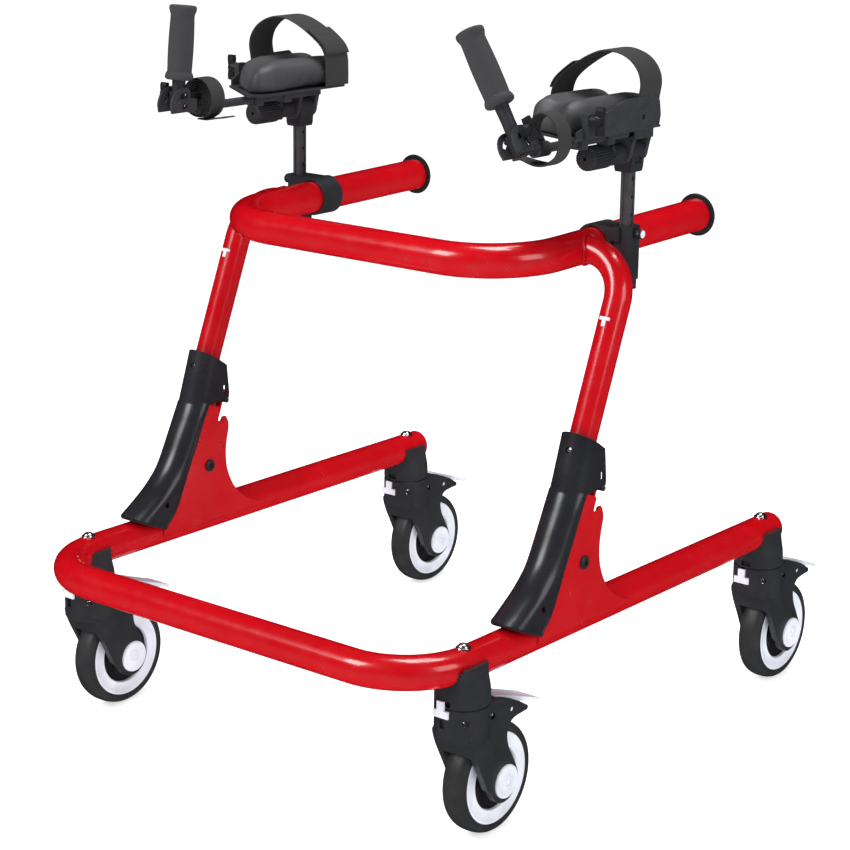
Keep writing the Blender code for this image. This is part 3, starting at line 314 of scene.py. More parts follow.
@dataclass(frozen=True)
class Vinyl(Finish):
    """Upholstery vinyl: a pebbled leather grain with painted shade in its grooves, soft creases and a low
    sheen.
    """

    pebble: float = 820.0

    def dress(self, graph: Graph) -> None:
        """Fill the graph."""
        warped = graph.node("ShaderNodeMix", {"data_type": "VECTOR"},
                            {0: 0.004, 4: graph.place(),
                             5: graph.node("ShaderNodeTexNoise", inputs={"Scale": 60.0}, output="Color")},
                             output=1)
        cells = graph.node("ShaderNodeTexVoronoi", {"feature": "DISTANCE_TO_EDGE"},
                           {"Vector": warped, "Scale": self.pebble})
        pebble = graph.range(cells, 0.0, 0.12, 0.0, 1.0)
        crease = graph.range(graph.noise(46.0, 3.0), 0.42, 0.58, 0.0, 1.0)
        hue = graph.blend(graph.range(graph.noise(22.0, 3.0), 0.35, 0.65, 0.0, 1.0),
                          rgba(self.colour, 0.85), rgba(self.colour, 1.2))
        # Painted shade: the colour darkens to 0.55 of the vinyl's own in the grooves between the pebbles.
        colour = graph.blend(pebble, rgba(self.colour, 0.55), hue)
        rough = graph.range(pebble, 0.0, 1.0, self.roughness * 1.35, self.roughness)
        fine = graph.bump(pebble, 0.10, 0.00012)
        soft = graph.bump(crease, 0.30, 0.0022, under=fine)
        graph.set(Base_Color=colour, Roughness=rough, Normal=soft, IOR=1.55)


@dataclass(frozen=True)
class Webbing(Finish):
    """Woven strap; the weave follows the strap's own length and width in its UV map."""

    pitch: float = 0.0011

    def dress(self, graph: Graph) -> None:
        """Fill the graph."""
        cloth = graph.node("ShaderNodeUVMap", {"uv_map": "strap"})
        split = self.tree_split(graph, cloth)
        along = graph.node("ShaderNodeMath", {"operation": "SINE"}, {0: split[0] * (math.tau / self.pitch)})
        across = graph.node("ShaderNodeMath", {"operation": "SINE"},
                            {0: split[1] * (math.tau / self.pitch)})
        weave = graph.range(along * across, -1.0, 1.0, 0.0, 1.0)
        fuzz = graph.range(graph.noise(1800.0, 4.0), 0.35, 0.68, 0.0, 1.0)
        worn = graph.range(graph.noise(70.0, 4.0), 0.45, 0.75, 0.0, 0.5)
        # Painted shade and highlight: the black yarn is darker in the weave's hollows and lighter on its
        # crests.
        thread = graph.blend(weave, rgba(self.colour, 0.35), rgba(self.colour, 1.7))
        pile = graph.range(graph.noise(900.0, 5.0), 0.46, 0.60, 0.0, 0.8)
        colour = graph.blend(pile, thread, graph.blend(worn, rgba(self.colour, 1.4),
                                                       rgba(self.colour, 3.6)))
        rough = graph.range(fuzz, 0.0, 1.0, self.roughness * 0.88, self.roughness)
        height = graph.bump(weave, 0.55, 0.0003)
        graph.set(Base_Color=colour, Roughness=rough, Normal=graph.bump(fuzz, 0.25, 0.0002, under=height),
                  Sheen_Weight=0.10, Sheen_Roughness=0.5)

    @staticmethod
    def tree_split(graph: Graph, vector: Wire) -> List[Wire]:
        """The parts of a vector.

        Args:
            graph: The graph to add to.
            vector: The vector to take apart.

        Returns:
            Its first and second parts.
        """
        first = graph.node("ShaderNodeSeparateXYZ", inputs={0: vector})
        return [first, Wire(graph, first.socket.node.outputs[1])]


@dataclass(frozen=True)
class Backdrop(Finish):
    """Pale matt studio floor, lit a little from within like a light table."""

    glow: float = 0.60

    def dress(self, graph: Graph) -> None:
        """Fill the graph."""
        tone = graph.range(graph.noise(3.0, 3.0), 0.3, 0.7, 0.0, 1.0)
        graph.set(Base_Color=graph.blend(tone, rgba(self.colour, 0.985), rgba(self.colour)), Roughness=0.9,
                  Emission_Color=rgba((1.0, 1.0, 1.0)), Emission_Strength=self.glow)


RED = Enamel("red_enamel", "red_paint", (0.52, 0.0012, 0.0060), 0.22)
BLACK = Moulding("black_moulding", "black_plastic", (0.025, 0.026, 0.030), 0.40)
SATIN_BLACK = Moulding("satin_black_moulding", "black_plastic", (0.018, 0.018, 0.021), 0.27, 900.0, 0.08)
COVER = Moulding("cover_moulding", "black_plastic", (0.019, 0.0195, 0.023), 0.26, 1400.0, 0.10)
WHITE = Moulding("white_moulding", "white_plastic", (0.74, 0.76, 0.84), 0.34, 1600.0, 0.10)
RUBBER = Tread("tyre_rubber", "tyre", (0.024, 0.025, 0.027), 0.46)
GRIP_RUBBER = Tread("grip_rubber", "grip_rubber", (0.012, 0.012, 0.0135), 0.30)
ZINC = Metal("zinc_plate", "black_steel", (0.72, 0.73, 0.76), 0.24)
BLACK_STEEL = Metal("blackened_steel", "black_steel", (0.050, 0.050, 0.056), 0.34, 0.5, (20.0, 20.0, 20.0))
ANODISED = Metal("dark_anodised", "dark_aluminium", (0.085, 0.088, 0.098), 0.32, 0.30)
DARK_SHEET = Metal("dark_sheet", "dark_aluminium", (0.052, 0.054, 0.060), 0.34, 0.25, (12.0, 12.0, 12.0))
VINYL = Vinyl("black_vinyl", "black_vinyl", (0.014, 0.014, 0.016), 0.19)
WEBBING = Webbing("black_webbing", "black_webbing", (0.014, 0.014, 0.0158), 0.90)
FLOOR = Backdrop("studio_floor", "red_paint", (0.99, 0.99, 0.99), 0.9)


# ------------------------------------------------------------------ mesh writing
class Draft:
    """Vertices and faces of a piece before it becomes a mesh."""

    def __init__(self, verts: Iterable[Sequence[float]], faces: Iterable[Sequence[int]],
                 uvs: Optional[List[Spot]] = None) -> None:
        """Keep the lists; uvs holds one pair for each vertex."""
        self.verts = [tuple(v) for v in verts]
        self.faces = [tuple(f) for f in faces]
        self.uvs = uvs

    @staticmethod
    def place(axis: str, spot: Spot, height: float) -> Point:
        """A 3-D point from two in-plane coordinates and one along the axis."""
        if axis == "X":
            return (height, spot[0], spot[1])
        if axis == "Y":
            return (spot[0], height, spot[1])
        return (spot[0], spot[1], height)

    @classmethod
    def prism(cls, axis: str, outline: Sequence[Spot], low: float, high: float) -> "Draft":
        """A straight extrusion of a closed outline.

        Args:
            axis: X, Y or Z.
            outline: The outline's points, in the plane across the axis.
            low: Where it starts on the axis.
            high: Where it ends.

        Returns:
            The solid.
        """
        n = len(outline)
        verts = [cls.place(axis, p, low) for p in outline] + [cls.place(axis, p, high) for p in outline]
        faces: List[tuple] = [tuple(range(n)), tuple(range(2 * n - 1, n - 1, -1))]
        faces += [(i, i + n, (i + 1) % n + n, (i + 1) % n) for i in range(n)]
        return cls(verts, faces)

    @classmethod
    def box(cls, x: Spot, y: Spot, z: Spot) -> "Draft":
        """An upright block between two corners."""
        return cls.prism("Z", [(x[0], y[0]), (x[1], y[0]), (x[1], y[1]), (x[0], y[1])], z[0], z[1])

    @classmethod
    def lathe(cls, axis: str, profile: Sequence[Spot], centre: Spot, sides: int = 64,
              flute: Optional[Callable[[float, float], float]] = None) -> "Draft":
        """A solid of revolution.

        Args:
            axis: X, Y or Z.
            profile: Radius and height pairs; radius 0 closes an end.
            centre: The axis's place in the plane across it.
            sides: Points round the axis.
            flute: Changes a radius by its angle, for flutes and knurls.

        Returns:
            The solid; it is a closed ring where no end has radius 0.
        """
        verts: List[Point] = []
        rings: List[List[int]] = []
        for radius, height in profile:
            if radius == 0.0:
                rings.append([len(verts)])
                verts.append(cls.place(axis, centre, height))
                continue
            rings.append(list(range(len(verts), len(verts) + sides)))
            for i in range(sides):
                angle = math.tau * i / sides
                r = flute(radius, angle) if flute else radius
                spot = (centre[0] + r * math.cos(angle), centre[1] + r * math.sin(angle))
                verts.append(cls.place(axis, spot, height))
        faces: List[tuple] = []
        ring_count = len(rings) if profile[0][0] > 0.0 and profile[-1][0] > 0.0 else len(rings) - 1
        for k in range(ring_count):
            one, two = rings[k], rings[(k + 1) % len(rings)]
            for i in range(sides):
                j = (i + 1) % sides
                if len(one) == 1 and len(two) > 1:
                    faces.append((one[0], two[i], two[j]))
                elif len(two) == 1 and len(one) > 1:
                    faces.append((one[i], two[0], one[j]))
                elif len(one) > 1:
                    faces.append((one[i], two[i], two[j], one[j]))
        return cls(verts, faces)

    @classmethod
    def rod(cls, axis: str, radius: float, centre: Spot, low: float, high: float, sides: int = 32,
            edge: float = 0.0) -> "Draft":
        """A round bar, with an optional rounded edge."""
        if edge == 0.0:
            return cls.lathe(axis, [(0.0, low), (radius, low), (radius, high), (0.0, high)], centre, sides)
        profile: List[Spot] = [(0.0, low)]
        for i in range(4):
            angle = math.pi / 2 * i / 3
            profile.append((radius - edge + edge * math.sin(angle), low + edge - edge * math.cos(angle)))
        for i in range(4):
            angle = math.pi / 2 * i / 3
            profile.append((radius - edge + edge * math.cos(angle), high - edge + edge * math.sin(angle)))
        return cls.lathe(axis, profile + [(0.0, high)], centre, sides)

    @classmethod
    def sweep(cls, path: Sequence[Vector], radius: float, up: Vector, sides: int = 48) -> "Draft":
        """A round bar along a planar path.

        Args:
            path: Points along the centre line.
            radius: The bar's radius.
            up: The normal of the path's plane.
            sides: Points round the bar.

        Returns:
            The solid, with flat ends.
        """
        verts: List[Point] = []
        up = up.normalized()
        for i, spot in enumerate(path):
            forward = (path[min(i + 1, len(path) - 1)] - path[max(i - 1, 0)]).normalized()
            across = forward.cross(up).normalized()
            for k in range(sides):
                angle = math.tau * (k + 0.5) / sides
                verts.append(tuple(spot + across * (math.cos(angle) * radius)
                                   + up * (math.sin(angle) * radius)))
        faces: List[tuple] = [tuple(range(sides)), tuple(range(len(verts) - 1, len(verts) - sides - 1, -1))]
        for i in range(len(path) - 1):
            low = i * sides
            faces += [(low + k, low + sides + k, low + sides + (k + 1) % sides, low + (k + 1) % sides)
                      for k in range(sides)]
        return cls(verts, faces)

    @classmethod
    def loft(cls, sections: Sequence[Sequence[Point]]) -> "Draft":
        """A closed solid through closed sections with equal numbers of points."""
        n = len(sections[0])
        verts = [p for section in sections for p in section]
        faces: List[tuple] = [tuple(range(n)), tuple(range(len(verts) - 1, len(verts) - n - 1, -1))]
        for i in range(len(sections) - 1):
            low = i * n
            faces += [(low + k, low + n + k, low + n + (k + 1) % n, low + (k + 1) % n) for k in range(n)]
        return cls(verts, faces)

    @classmethod
    def ribbon(cls, line: Sequence[Spot], axis: str, low: float, high: float, thickness: float,
               columns: int = 8, edge: Optional[Callable[[float], float]] = None) -> "Draft":
        """A strap: a band along a line, as wide as the distance along the axis, with a strap UV map.

        Args:
            line: The centre line in the plane across the axis.
            axis: The direction of the strap's width.
            low: One edge of the strap.
            high: The other edge.
            thickness: The strap's thickness.
            columns: Faces across its width.
            edge: Narrows the end of the strap; gets the share along it and returns a share of the width.

        Returns:
            The band as a closed solid.
        """
        normals = []
        lengths = [0.0]
        for i, spot in enumerate(line):
            before, after = line[max(i - 1, 0)], line[min(i + 1, len(line) - 1)]
            dx, dz = after[0] - before[0], after[1] - before[1]
            size = math.hypot(dx, dz)
            normals.append((-dz / size, dx / size))
            if i:
                lengths.append(lengths[-1] + math.dist(spot, line[i - 1]))
        verts: List[Point] = []
        uvs: List[Spot] = []
        stride = columns + 1
        middle = (low + high) / 2
        for face in (1, -1):
            for i, spot in enumerate(line):
                share = edge(lengths[i] / lengths[-1]) if edge else 1.0
                for c in range(stride):
                    across = low + (high - low) * c / columns
                    across = middle + (across - middle) * share
                    rim = 0.35 if c in (0, columns) or i in (0, len(line) - 1) else 1.0
                    lift = face * thickness / 2 * rim
                    place = (spot[0] + normals[i][0] * lift, spot[1] + normals[i][1] * lift)
                    verts.append(cls.place(axis, place, across))
                    uvs.append((lengths[i], across - low))
        faces: List[tuple] = []
        back = len(line) * stride
        for i in range(len(line) - 1):
            for c in range(columns):
                a = i * stride + c
                faces.append((a, a + 1, a + 1 + stride, a + stride))
                faces.append((back + a, back + a + stride, back + a + 1 + stride, back + a + 1))
            for c, flip in ((0, False), (columns, True)):
                a = i * stride + c
                quad = (a, a + stride, back + a + stride, back + a)
                faces.append(quad[::-1] if flip else quad)
        for i, flip in ((0, True), (len(line) - 1, False)):
            for c in range(columns):
                a = i * stride + c
                quad = (a, a + 1, back + a + 1, back + a)
                faces.append(quad[::-1] if not flip else quad)
        return cls(verts, faces, uvs)

    def plus(self, *others: "Draft") -> "Draft":
        """This draft with others beside it in one mesh."""
        verts = list(self.verts)
        faces = list(self.faces)
        for other in others:
            start = len(verts)
            verts += other.verts
            faces += [tuple(i + start for i in face) for face in other.faces]
        return Draft(verts, faces)

    def spun(self, axis: str, centre: Point, degrees: float) -> "Draft":
        """Turned about an axis through a point."""
        turn = Matrix.Translation(centre) @ Matrix.Rotation(math.radians(degrees), 4, axis)
        turn = turn @ Matrix.Translation(-Vector(centre))
        return Draft([turn @ Vector(v) for v in self.verts], self.faces, self.uvs)

    def moved(self, x: float = 0.0, y: float = 0.0, z: float = 0.0) -> "Draft":
        """Shifted by a distance along each axis."""
        return Draft([(v[0] + x, v[1] + y, v[2] + z) for v in self.verts], self.faces, self.uvs)

    def mesh(self, name: str) -> bpy.types.Mesh:
        """The draft as a mesh with outward normals.

        Args:
            name: The mesh's name.

        Returns:
            The mesh.
        """
        mesh = bpy.data.meshes.new(name)
        mesh.from_pydata(self.verts, [], self.faces)
        if self.uvs:
            layer = mesh.uv_layers.new(name="strap")
            for loop in mesh.loops:
                layer.data[loop.index].uv = self.uvs[loop.vertex_index]
        work = bmesh.new()
        work.from_mesh(mesh)
        bmesh.ops.recalc_face_normals(work, faces=work.faces)
        work.to_mesh(mesh)
        work.free()
        return mesh

    def carved(self, joined: Sequence["Draft"] = (), cut: Sequence["Draft"] = ()) -> "Draft":
        """This solid with others joined on and cut away.

        Args:
            joined: Solids to add.
            cut: Solids to remove.

        Returns:
            The result.
        """
        body = bpy.data.objects.new("work", self.mesh("work"))
        bpy.context.scene.collection.objects.link(body)
        spare = [body]
        for operation, drafts in (("UNION", joined), ("DIFFERENCE", cut)):
            for draft in drafts:
                tool = bpy.data.objects.new("tool", draft.mesh("tool"))
                bpy.context.scene.collection.objects.link(tool)
                spare.append(tool)
                step = body.modifiers.new("step", "BOOLEAN")
                step.operation = operation
                step.object = tool
        done = bpy.data.meshes.new_from_object(body.evaluated_get(bpy.context.evaluated_depsgraph_get()))
        made = Draft([v.co for v in done.vertices], [tuple(p.vertices) for p in done.polygons])
        for thing in spare:
            bpy.data.objects.remove(thing, do_unlink=True)
        return made


def arc(centre: Spot, radius: float, start: float, end: float, steps: int) -> List[Spot]:
    """Points on an arc, angles in degrees, both ends included."""
    angles = [math.radians(start + (end - start) * i / steps) for i in range(steps + 1)]
    return [(centre[0] + radius * math.cos(a), centre[1] + radius * math.sin(a)) for a in angles]


def bent(corners: Sequence[Point], radius: float, steps: int = 20) -> List[Vector]:
    """A polyline whose inner corners are replaced by arcs.

    Args:
        corners: The polyline's points.
        radius: The bend radius.
        steps: Points along each bend.

    Returns:
        The path.
    """
    path = [Vector(corners[0])]
    for a, b, c in zip(corners, corners[1:], corners[2:]):
        before, corner, after = Vector(a), Vector(b), Vector(c)
        back, onward = (before - corner).normalized(), (after - corner).normalized()
        half = back.angle(onward) / 2
        centre = corner + (back + onward).normalized() * (radius / math.sin(half))
        start = corner + back * (radius / math.tan(half)) - centre
        axis = back.cross(onward).normalized()
        for i in range(steps + 1):
            path.append(centre + Matrix.Rotation(-(math.pi - 2 * half) * i / steps, 3, axis) @ start)
    path.append(Vector(corners[-1]))
    return path


def smooth_line(points: Sequence[Spot], steps: int = 6) -> List[Spot]:
    """A Catmull-Rom curve through points in a plane.

    Args:
        points: The points to pass through.
        steps: New points in each span.

    Returns:
        The curve's points.
    """
    line: List[Spot] = []
    for i in range(len(points) - 1):
        p0, p1 = points[max(i - 1, 0)], points[i]
        p2, p3 = points[i + 1], points[min(i + 2, len(points) - 1)]
        for k in range(steps):
            t = k / steps
            line.append(tuple(
                0.5 * (2 * b + (c - a) * t + (2 * a - 5 * b + 4 * c - d) * t * t
                       + (3 * b - a - 3 * c + d) * t ** 3)
                for a, b, c, d in zip(p0, p1, p2, p3)))
    line.append(tuple(points[-1]))
    return line


class Workshop:
    """Turns drafts into finished pieces that ride on the model's bodies."""

    @staticmethod
    def piece(name: str, draft: Draft, finish: Finish, body: str, bevel: float = 0.0, sharp: float = 32.0,
              replaces: Sequence[str] = (), subdivide: int = 0) -> bpy.types.Object:
        """Make one piece.

        Args:
            name: The piece's name.
            draft: Its shape in the row frame.
            finish: Its finish.
            body: The body it rides on.
            bevel: Width of its rounded edges, in metres.
            sharp: Edges above this angle are drawn sharp, in degrees.
            replaces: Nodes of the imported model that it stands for.
            subdivide: Levels of subdivision.

        Returns:
            The piece.
        """
        thing = bpy.data.objects.new(name, draft.mesh(name))
        bpy.context.scene.collection.objects.link(thing)
        Workshop.dress(thing, finish, bevel, sharp, subdivide)
        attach(thing, body)
        if replaces:
            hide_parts(*replaces)
        LOG.info("%s rides on %s in %s", name, body, finish.name)
        return thing

    @staticmethod
    def dress(thing: bpy.types.Object, finish: Finish, bevel: float = 0.0, sharp: float = 32.0,
              subdivide: int = 0) -> None:
        """Give a piece its material, rounded edges and shading."""
        thing.data.materials.clear()
        thing.data.materials.append(finish.material())
        for polygon in thing.data.polygons:
            polygon.material_index = 0
        thing.data.shade_smooth()
        if bevel:
            step = thing.modifiers.new("edges", "BEVEL")
            step.width = bevel
            step.segments = 2
            step.limit_method = "ANGLE"
            step.angle_limit = math.radians(sharp)
            step.harden_normals = True
            step.use_clamp_overlap = True
        elif not subdivide:
            thing.data.set_sharp_from_angle(angle=math.radians(sharp))
        if subdivide:
            step = thing.modifiers.new("rounding", "SUBSURF")
            step.levels = step.render_levels = subdivide

    @staticmethod
    def keep(node: str, finish: Finish, bevel: float = 0.0, sharp: float = 32.0) -> None:
        """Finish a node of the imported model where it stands."""
        Workshop.dress(frame["nodes"][node], finish, bevel, sharp)
        LOG.info("%s kept in %s", node, finish.name)


def at(y: float, z: float) -> Spot:
    """A (y, z) place from a distance behind the front caster screws and a height."""
    return (y + ORIGIN_Y, z)


def stations(points: Iterable[Spot]) -> List[Spot]:
    """Several such places."""
    return [at(y, z) for y, z in points]


# ------------------------------------------------------------------ base
@dataclass
class Base:
    """U-shaped base tube, side plates, fold pivots, end plugs and caster screws."""

    tube_radius: float = 0.0190
    height: float = 0.2015
    front: float = -0.0780
    rear: float = 0.6160
    bend: float = 0.0850
    plate_inner: float = 0.0175
    plate_outer: float = 0.0206
    latch_radius: float = 0.0037
    pitch: float = 0.5940

    def path(self) -> List[Vector]:
        """Centre line of the tube, from the right rear end round to the left."""
        front, rear = self.front + ORIGIN_Y, self.rear + ORIGIN_Y
        corners = [(RAIL_X, rear, self.height), (RAIL_X, front, self.height)]
        corners += [(-RAIL_X, front, self.height), (-RAIL_X, rear, self.height)]
        return bent(corners, self.bend, 24)

    def plate_outline(self) -> List[Spot]:
        """A side plate's edge, from its front foot over the notch and down its back."""
        front = [(0.1040, 0.1988), (0.1052, 0.2040), (0.1088, 0.2130), (0.1210, 0.2245), (0.1340, 0.2482)]
        front += [(0.1460, 0.2740), (0.1628, 0.3085), (0.1800, 0.3475)]
        front = [front[0]] + smooth_line(front[1:], 4)
        notch = Vector((0.2055, 0.3262))
        lean = math.radians(21.8)
        along, ahead = Vector((math.sin(lean), math.cos(lean))), Vector((-math.cos(lean), math.sin(lean)))
        edge = front + [(0.1845, 0.3478), (0.2030, 0.3422)]
        edge.append(tuple(notch + ahead * self.latch_radius + along * 0.0118))
        for i in range(9):
            turn = math.pi * i / 8
            spot = (notch + ahead * (self.latch_radius * math.cos(turn))
                    - along * (self.latch_radius * math.sin(turn)))
            edge.append(tuple(spot))
        edge.append(tuple(notch - ahead * self.latch_radius + along * 0.0030))
        back = [(0.2160, 0.3275), (0.2205, 0.3150), (0.2165, 0.2950), (0.2150, 0.2790), (0.2172, 0.2600)]
        back += [(0.2265, 0.2390), (0.2410, 0.2222), (0.2620, 0.2095)]
        edge += smooth_line(back + [(0.2820, 0.2020)], 5) + [(0.2850, 0.1988)]
        return stations(edge)

    def plate(self, side: Side) -> Draft:
        """Two walls, one on each side of the tube."""
        x = side.value * RAIL_X
        body = Draft.prism("X", self.plate_outline(), x - self.plate_outer, x + self.plate_outer)
        gap = Draft.box((x - self.plate_inner, x + self.plate_inner), (ORIGIN_Y, ORIGIN_Y + 0.4),
                        (0.1700, 0.5))
        bore = Draft.rod("X", 0.0043, (PIVOT[1], PIVOT[2]), x - 0.05, x + 0.05, 32)
        return body.carved(cut=[gap, bore])

    def bead(self, side: Side, wall: int) -> Draft:
        """Weld bead along the tube inside or outside a plate's wall, with ripples."""
        x = side.value * RAIL_X + wall * (self.plate_outer + 0.0002)
        z = self.height - 0.0032
        path = [Vector((x - wall * 0.0014, ORIGIN_Y + 0.106 + 0.0012 * i, z)) for i in range(145)]
        body = Draft.sweep(path, 0.0013, Vector((0, 0, 1)), 8)
        ripple = [1 + 0.10 * math.sin(i * 1.7) for i in range(145)]
        verts = []
        for i, v in enumerate(body.verts):
            centre = path[i // 8]
            verts.append(tuple(centre + (Vector(v) - centre) * ripple[i // 8]))
        return Draft(verts, body.faces)

    def pivot(self, side: Side, wall: int) -> Draft:
        """Head of the fold pivot with its socket."""
        seat = side.value * RAIL_X + wall * (self.plate_outer + 0.0002)
        steps = [(0.0, 0.0010), (0.0032, 0.0010), (0.0034, 0.0029), (0.0060, 0.0030), (0.0072, 0.0022)]
        steps += [(0.0075, 0.0010), (0.0075, 0.0), (0.0, 0.0)]
        return Draft.lathe("X", [(r, seat + wall * h) for r, h in steps], (PIVOT[1], PIVOT[2]), 40)

    def dome_screw(self, side: Side, end: End) -> Draft:
        """Dome-headed caster screw on its washer on top of the tube."""
        y = ORIGIN_Y + (self.pitch if end is End.REAR else 0.0)
        z = self.height + self.tube_radius - 0.0012
        steps = [(0.0, 0.0), (0.0082, 0.0), (0.0084, 0.0012), (0.0080, 0.0018), (0.0066, 0.0019)]
        steps += [(0.0062, 0.0030), (0.0050, 0.0046), (0.0032, 0.0055), (0.0022, 0.0056), (0.0020, 0.0040)]
        steps += [(0.0, 0.0040)]
        return Draft.lathe("Z", [(r, z + h) for r, h in steps], (side.value * RAIL_X, y), 40)

    def plug(self, side: Side) -> Draft:
        """Domed plug in the open rear end of the tube."""
        rear = self.rear + ORIGIN_Y
        steps = [(0.0, -0.010), (0.0172, -0.010), (0.0172, -0.0005), (0.0186, 0.0), (0.0184, 0.0016)]
        steps += [(0.0160, 0.0030), (0.0100, 0.0036), (0.0, 0.0038)]
        return Draft.lathe("Y", [(r, rear + h) for r, h in steps], (side.value * RAIL_X, self.height), 48)

    def build(self) -> None:
        """Make and dress every piece of the base."""
        tube = Draft.sweep(self.path(), self.tube_radius, Vector((0, 0, 1)))
        Workshop.piece("base_tube", tube, RED, "base", replaces=["base_frame"], sharp=60)
        for side in Side:
            tag = side.tag
            Workshop.piece("side_plate_" + tag, self.plate(side), RED, "base", bevel=0.0007)
            beads = self.bead(side, 1).plus(self.bead(side, -1))
            Workshop.piece("plate_weld_" + tag, beads, RED, "base", sharp=80)
            heads = self.pivot(side, 1).plus(self.pivot(side, -1))
            shank = Draft.rod("X", 0.0040, (PIVOT[1], PIVOT[2]), side.value * RAIL_X - 0.0207,
                              side.value * RAIL_X + 0.0207, 24)
            Workshop.piece("pivot_head_" + tag, heads.plus(shank), BLACK_STEEL, "base",
                           replaces=["pivot_bolt_" + tag])
            Workshop.piece("tube_plug_" + tag, self.plug(side), SATIN_BLACK, "base")
            for end in End:
                Workshop.piece("caster_screw_" + end.value + "_" + tag, self.dome_screw(side, end), ZINC,
                               "base")


# ------------------------------------------------------------------ leg sleeves
@dataclass
class LegSleeve:
    """Moulded cover in front of a leg, flared at its foot over the base tube."""

    side: Side
    half_width: float = 0.0236
    wall: float = 0.0024

    @property
    def x(self) -> float:
        """The sleeve's middle plane."""
        return self.side.value * RAIL_X

    def edges(self) -> List[Tuple[Spot, Spot]]:
        """Nose and rear edge of each section, from the top down to the tube."""
        nose = [(0.1848, 0.4137), (0.1735, 0.3800), (0.1645, 0.3512), (0.1556, 0.3330), (0.1462, 0.3155)]
        nose += [(0.1279, 0.2825), (0.1050, 0.2580), (0.0800, 0.2400), (0.0615, 0.2290)]
        rear = [(0.2150, 0.3935), (0.2175, 0.3700), (0.2188, 0.3565), (0.1730, 0.3285), (0.1640, 0.3085)]
        rear += [(0.1470, 0.2740), (0.1350, 0.2480), (0.1235, 0.2260), (0.1080, 0.2095)]
        upper = list(zip(smooth_line(nose[:3], 5), smooth_line(rear[:3], 5)))
        lower = list(zip(smooth_line(nose[3:], 5), smooth_line(rear[3:], 5)))
        step = [((0.1640, 0.3502), (0.2180, 0.3512)), ((0.1632, 0.3488), (0.1832, 0.3478))]
        return upper + step + lower

    def section(self, nose: Spot, rear: Spot) -> List[Point]:
        """One C-shaped section: out along the outside, back along the inside."""
        tip, tail = Vector(at(*nose)), Vector(at(*rear))
        forward = (tip - tail).normalized()
        points: List[Point] = []
        for inset in (0.0, self.wall):
            width = self.half_width - inset
            depth = (tip - tail).length - inset
            straight = max(depth - width, 0.0)
            dome = depth - straight
            loop = [(width, 0.0), (width, straight * 0.5), (width, straight)]
            loop += [(width * math.cos(math.pi * i / 20), straight + dome * math.sin(math.pi * i / 20))
                     for i in range(1, 20)]
            loop += [(-width, straight), (-width, straight * 0.5), (-width, 0.0)]
            row = [(self.x + dx, *(tail + forward * d)) for dx, d in loop]
            points += row if inset == 0.0 else row[::-1]
        return points

    def trim(self) -> List[Draft]:
        """Rolled bead round the foot and a raised rib along each lower rear edge."""
        nose, rear = self.edges()[-1]
        tip, tail = Vector(at(*nose)), Vector(at(*rear))
        forward = (tip - tail).normalized()
        width = self.half_width - 0.0026
        straight = (tip - tail).length - 0.0050 - width
        loop = [(width, straight * i / 6) for i in range(6)]
        loop += [(width * math.cos(math.pi * i / 24), straight + width * math.sin(math.pi * i / 24))
                 for i in range(25)]
        loop += [(-width, straight * (5 - i) / 6) for i in range(6)]
        path = [Vector((self.x + dx, *(tail + forward * d))) for dx, d in loop]
        normal = Vector((1.0, 0.0, 0.0)).cross(Vector((0.0, *forward)))
        parts = [Draft.sweep(path, 0.0034, normal, 16)]
        lower = [tail for _, tail in self.edges()[13:]]
        for way in (1, -1):
            line = [Vector((self.x + way * (self.half_width - 0.0006), *at(*spot))) for spot in lower]
            line = [spot + Vector((0.0, -0.0022, 0.0010)) for spot in line]
            parts.append(Draft.sweep(line, 0.0015, Vector((1.0, 0.0, 0.0)), 10))
        return parts

    def build(self) -> None:
        """Make the cover with its screw, its bead and its ribs."""
        tag = self.side.tag
        shell = Draft.loft([self.section(nose, rear) for nose, rear in self.edges()])
        seat = Draft.rod("Y", 0.0036, (self.x, 0.0), 0.0, 0.03, 24).spun("X", (self.x, 0.0, 0.0), -20)
        seat = seat.moved(y=0.170 + ORIGIN_Y, z=0.3985)
        slot = Draft.prism("X", stations([(0.2085, 0.3590), (0.2130, 0.3590), (0.2130, 0.3680),
                                          (0.2085, 0.3680)]),
                           self.x - 0.05, self.x + 0.05)
        hole = Draft.rod("X", 0.0034, at(0.1090, 0.2370), self.x - 0.05, self.x + 0.05, 24)
        shell = shell.carved(cut=[seat, slot, hole])
        Workshop.piece("leg_cover_" + tag, shell, COVER, "base", bevel=0.0009, sharp=40,
                       replaces=["leg_sleeve_" + tag])
        for number, part in enumerate(self.trim()):
            Workshop.piece("cover_trim_" + tag + "_" + str(number), part, COVER, "base", sharp=60)
        head = Draft.lathe("Y", [(0.0, 0.0), (0.0014, 0.0004), (0.0030, 0.0004), (0.0033, 0.0012),
                                 (0.0033, 0.004),
                                 (0.0, 0.004)], (self.x, 0.0), 24).spun("X", (self.x, 0.0, 0.0), -20)
        head = head.moved(y=0.1810 + ORIGIN_Y, z=0.3950)
        Workshop.piece("cover_screw_" + tag, head, ZINC, "base")


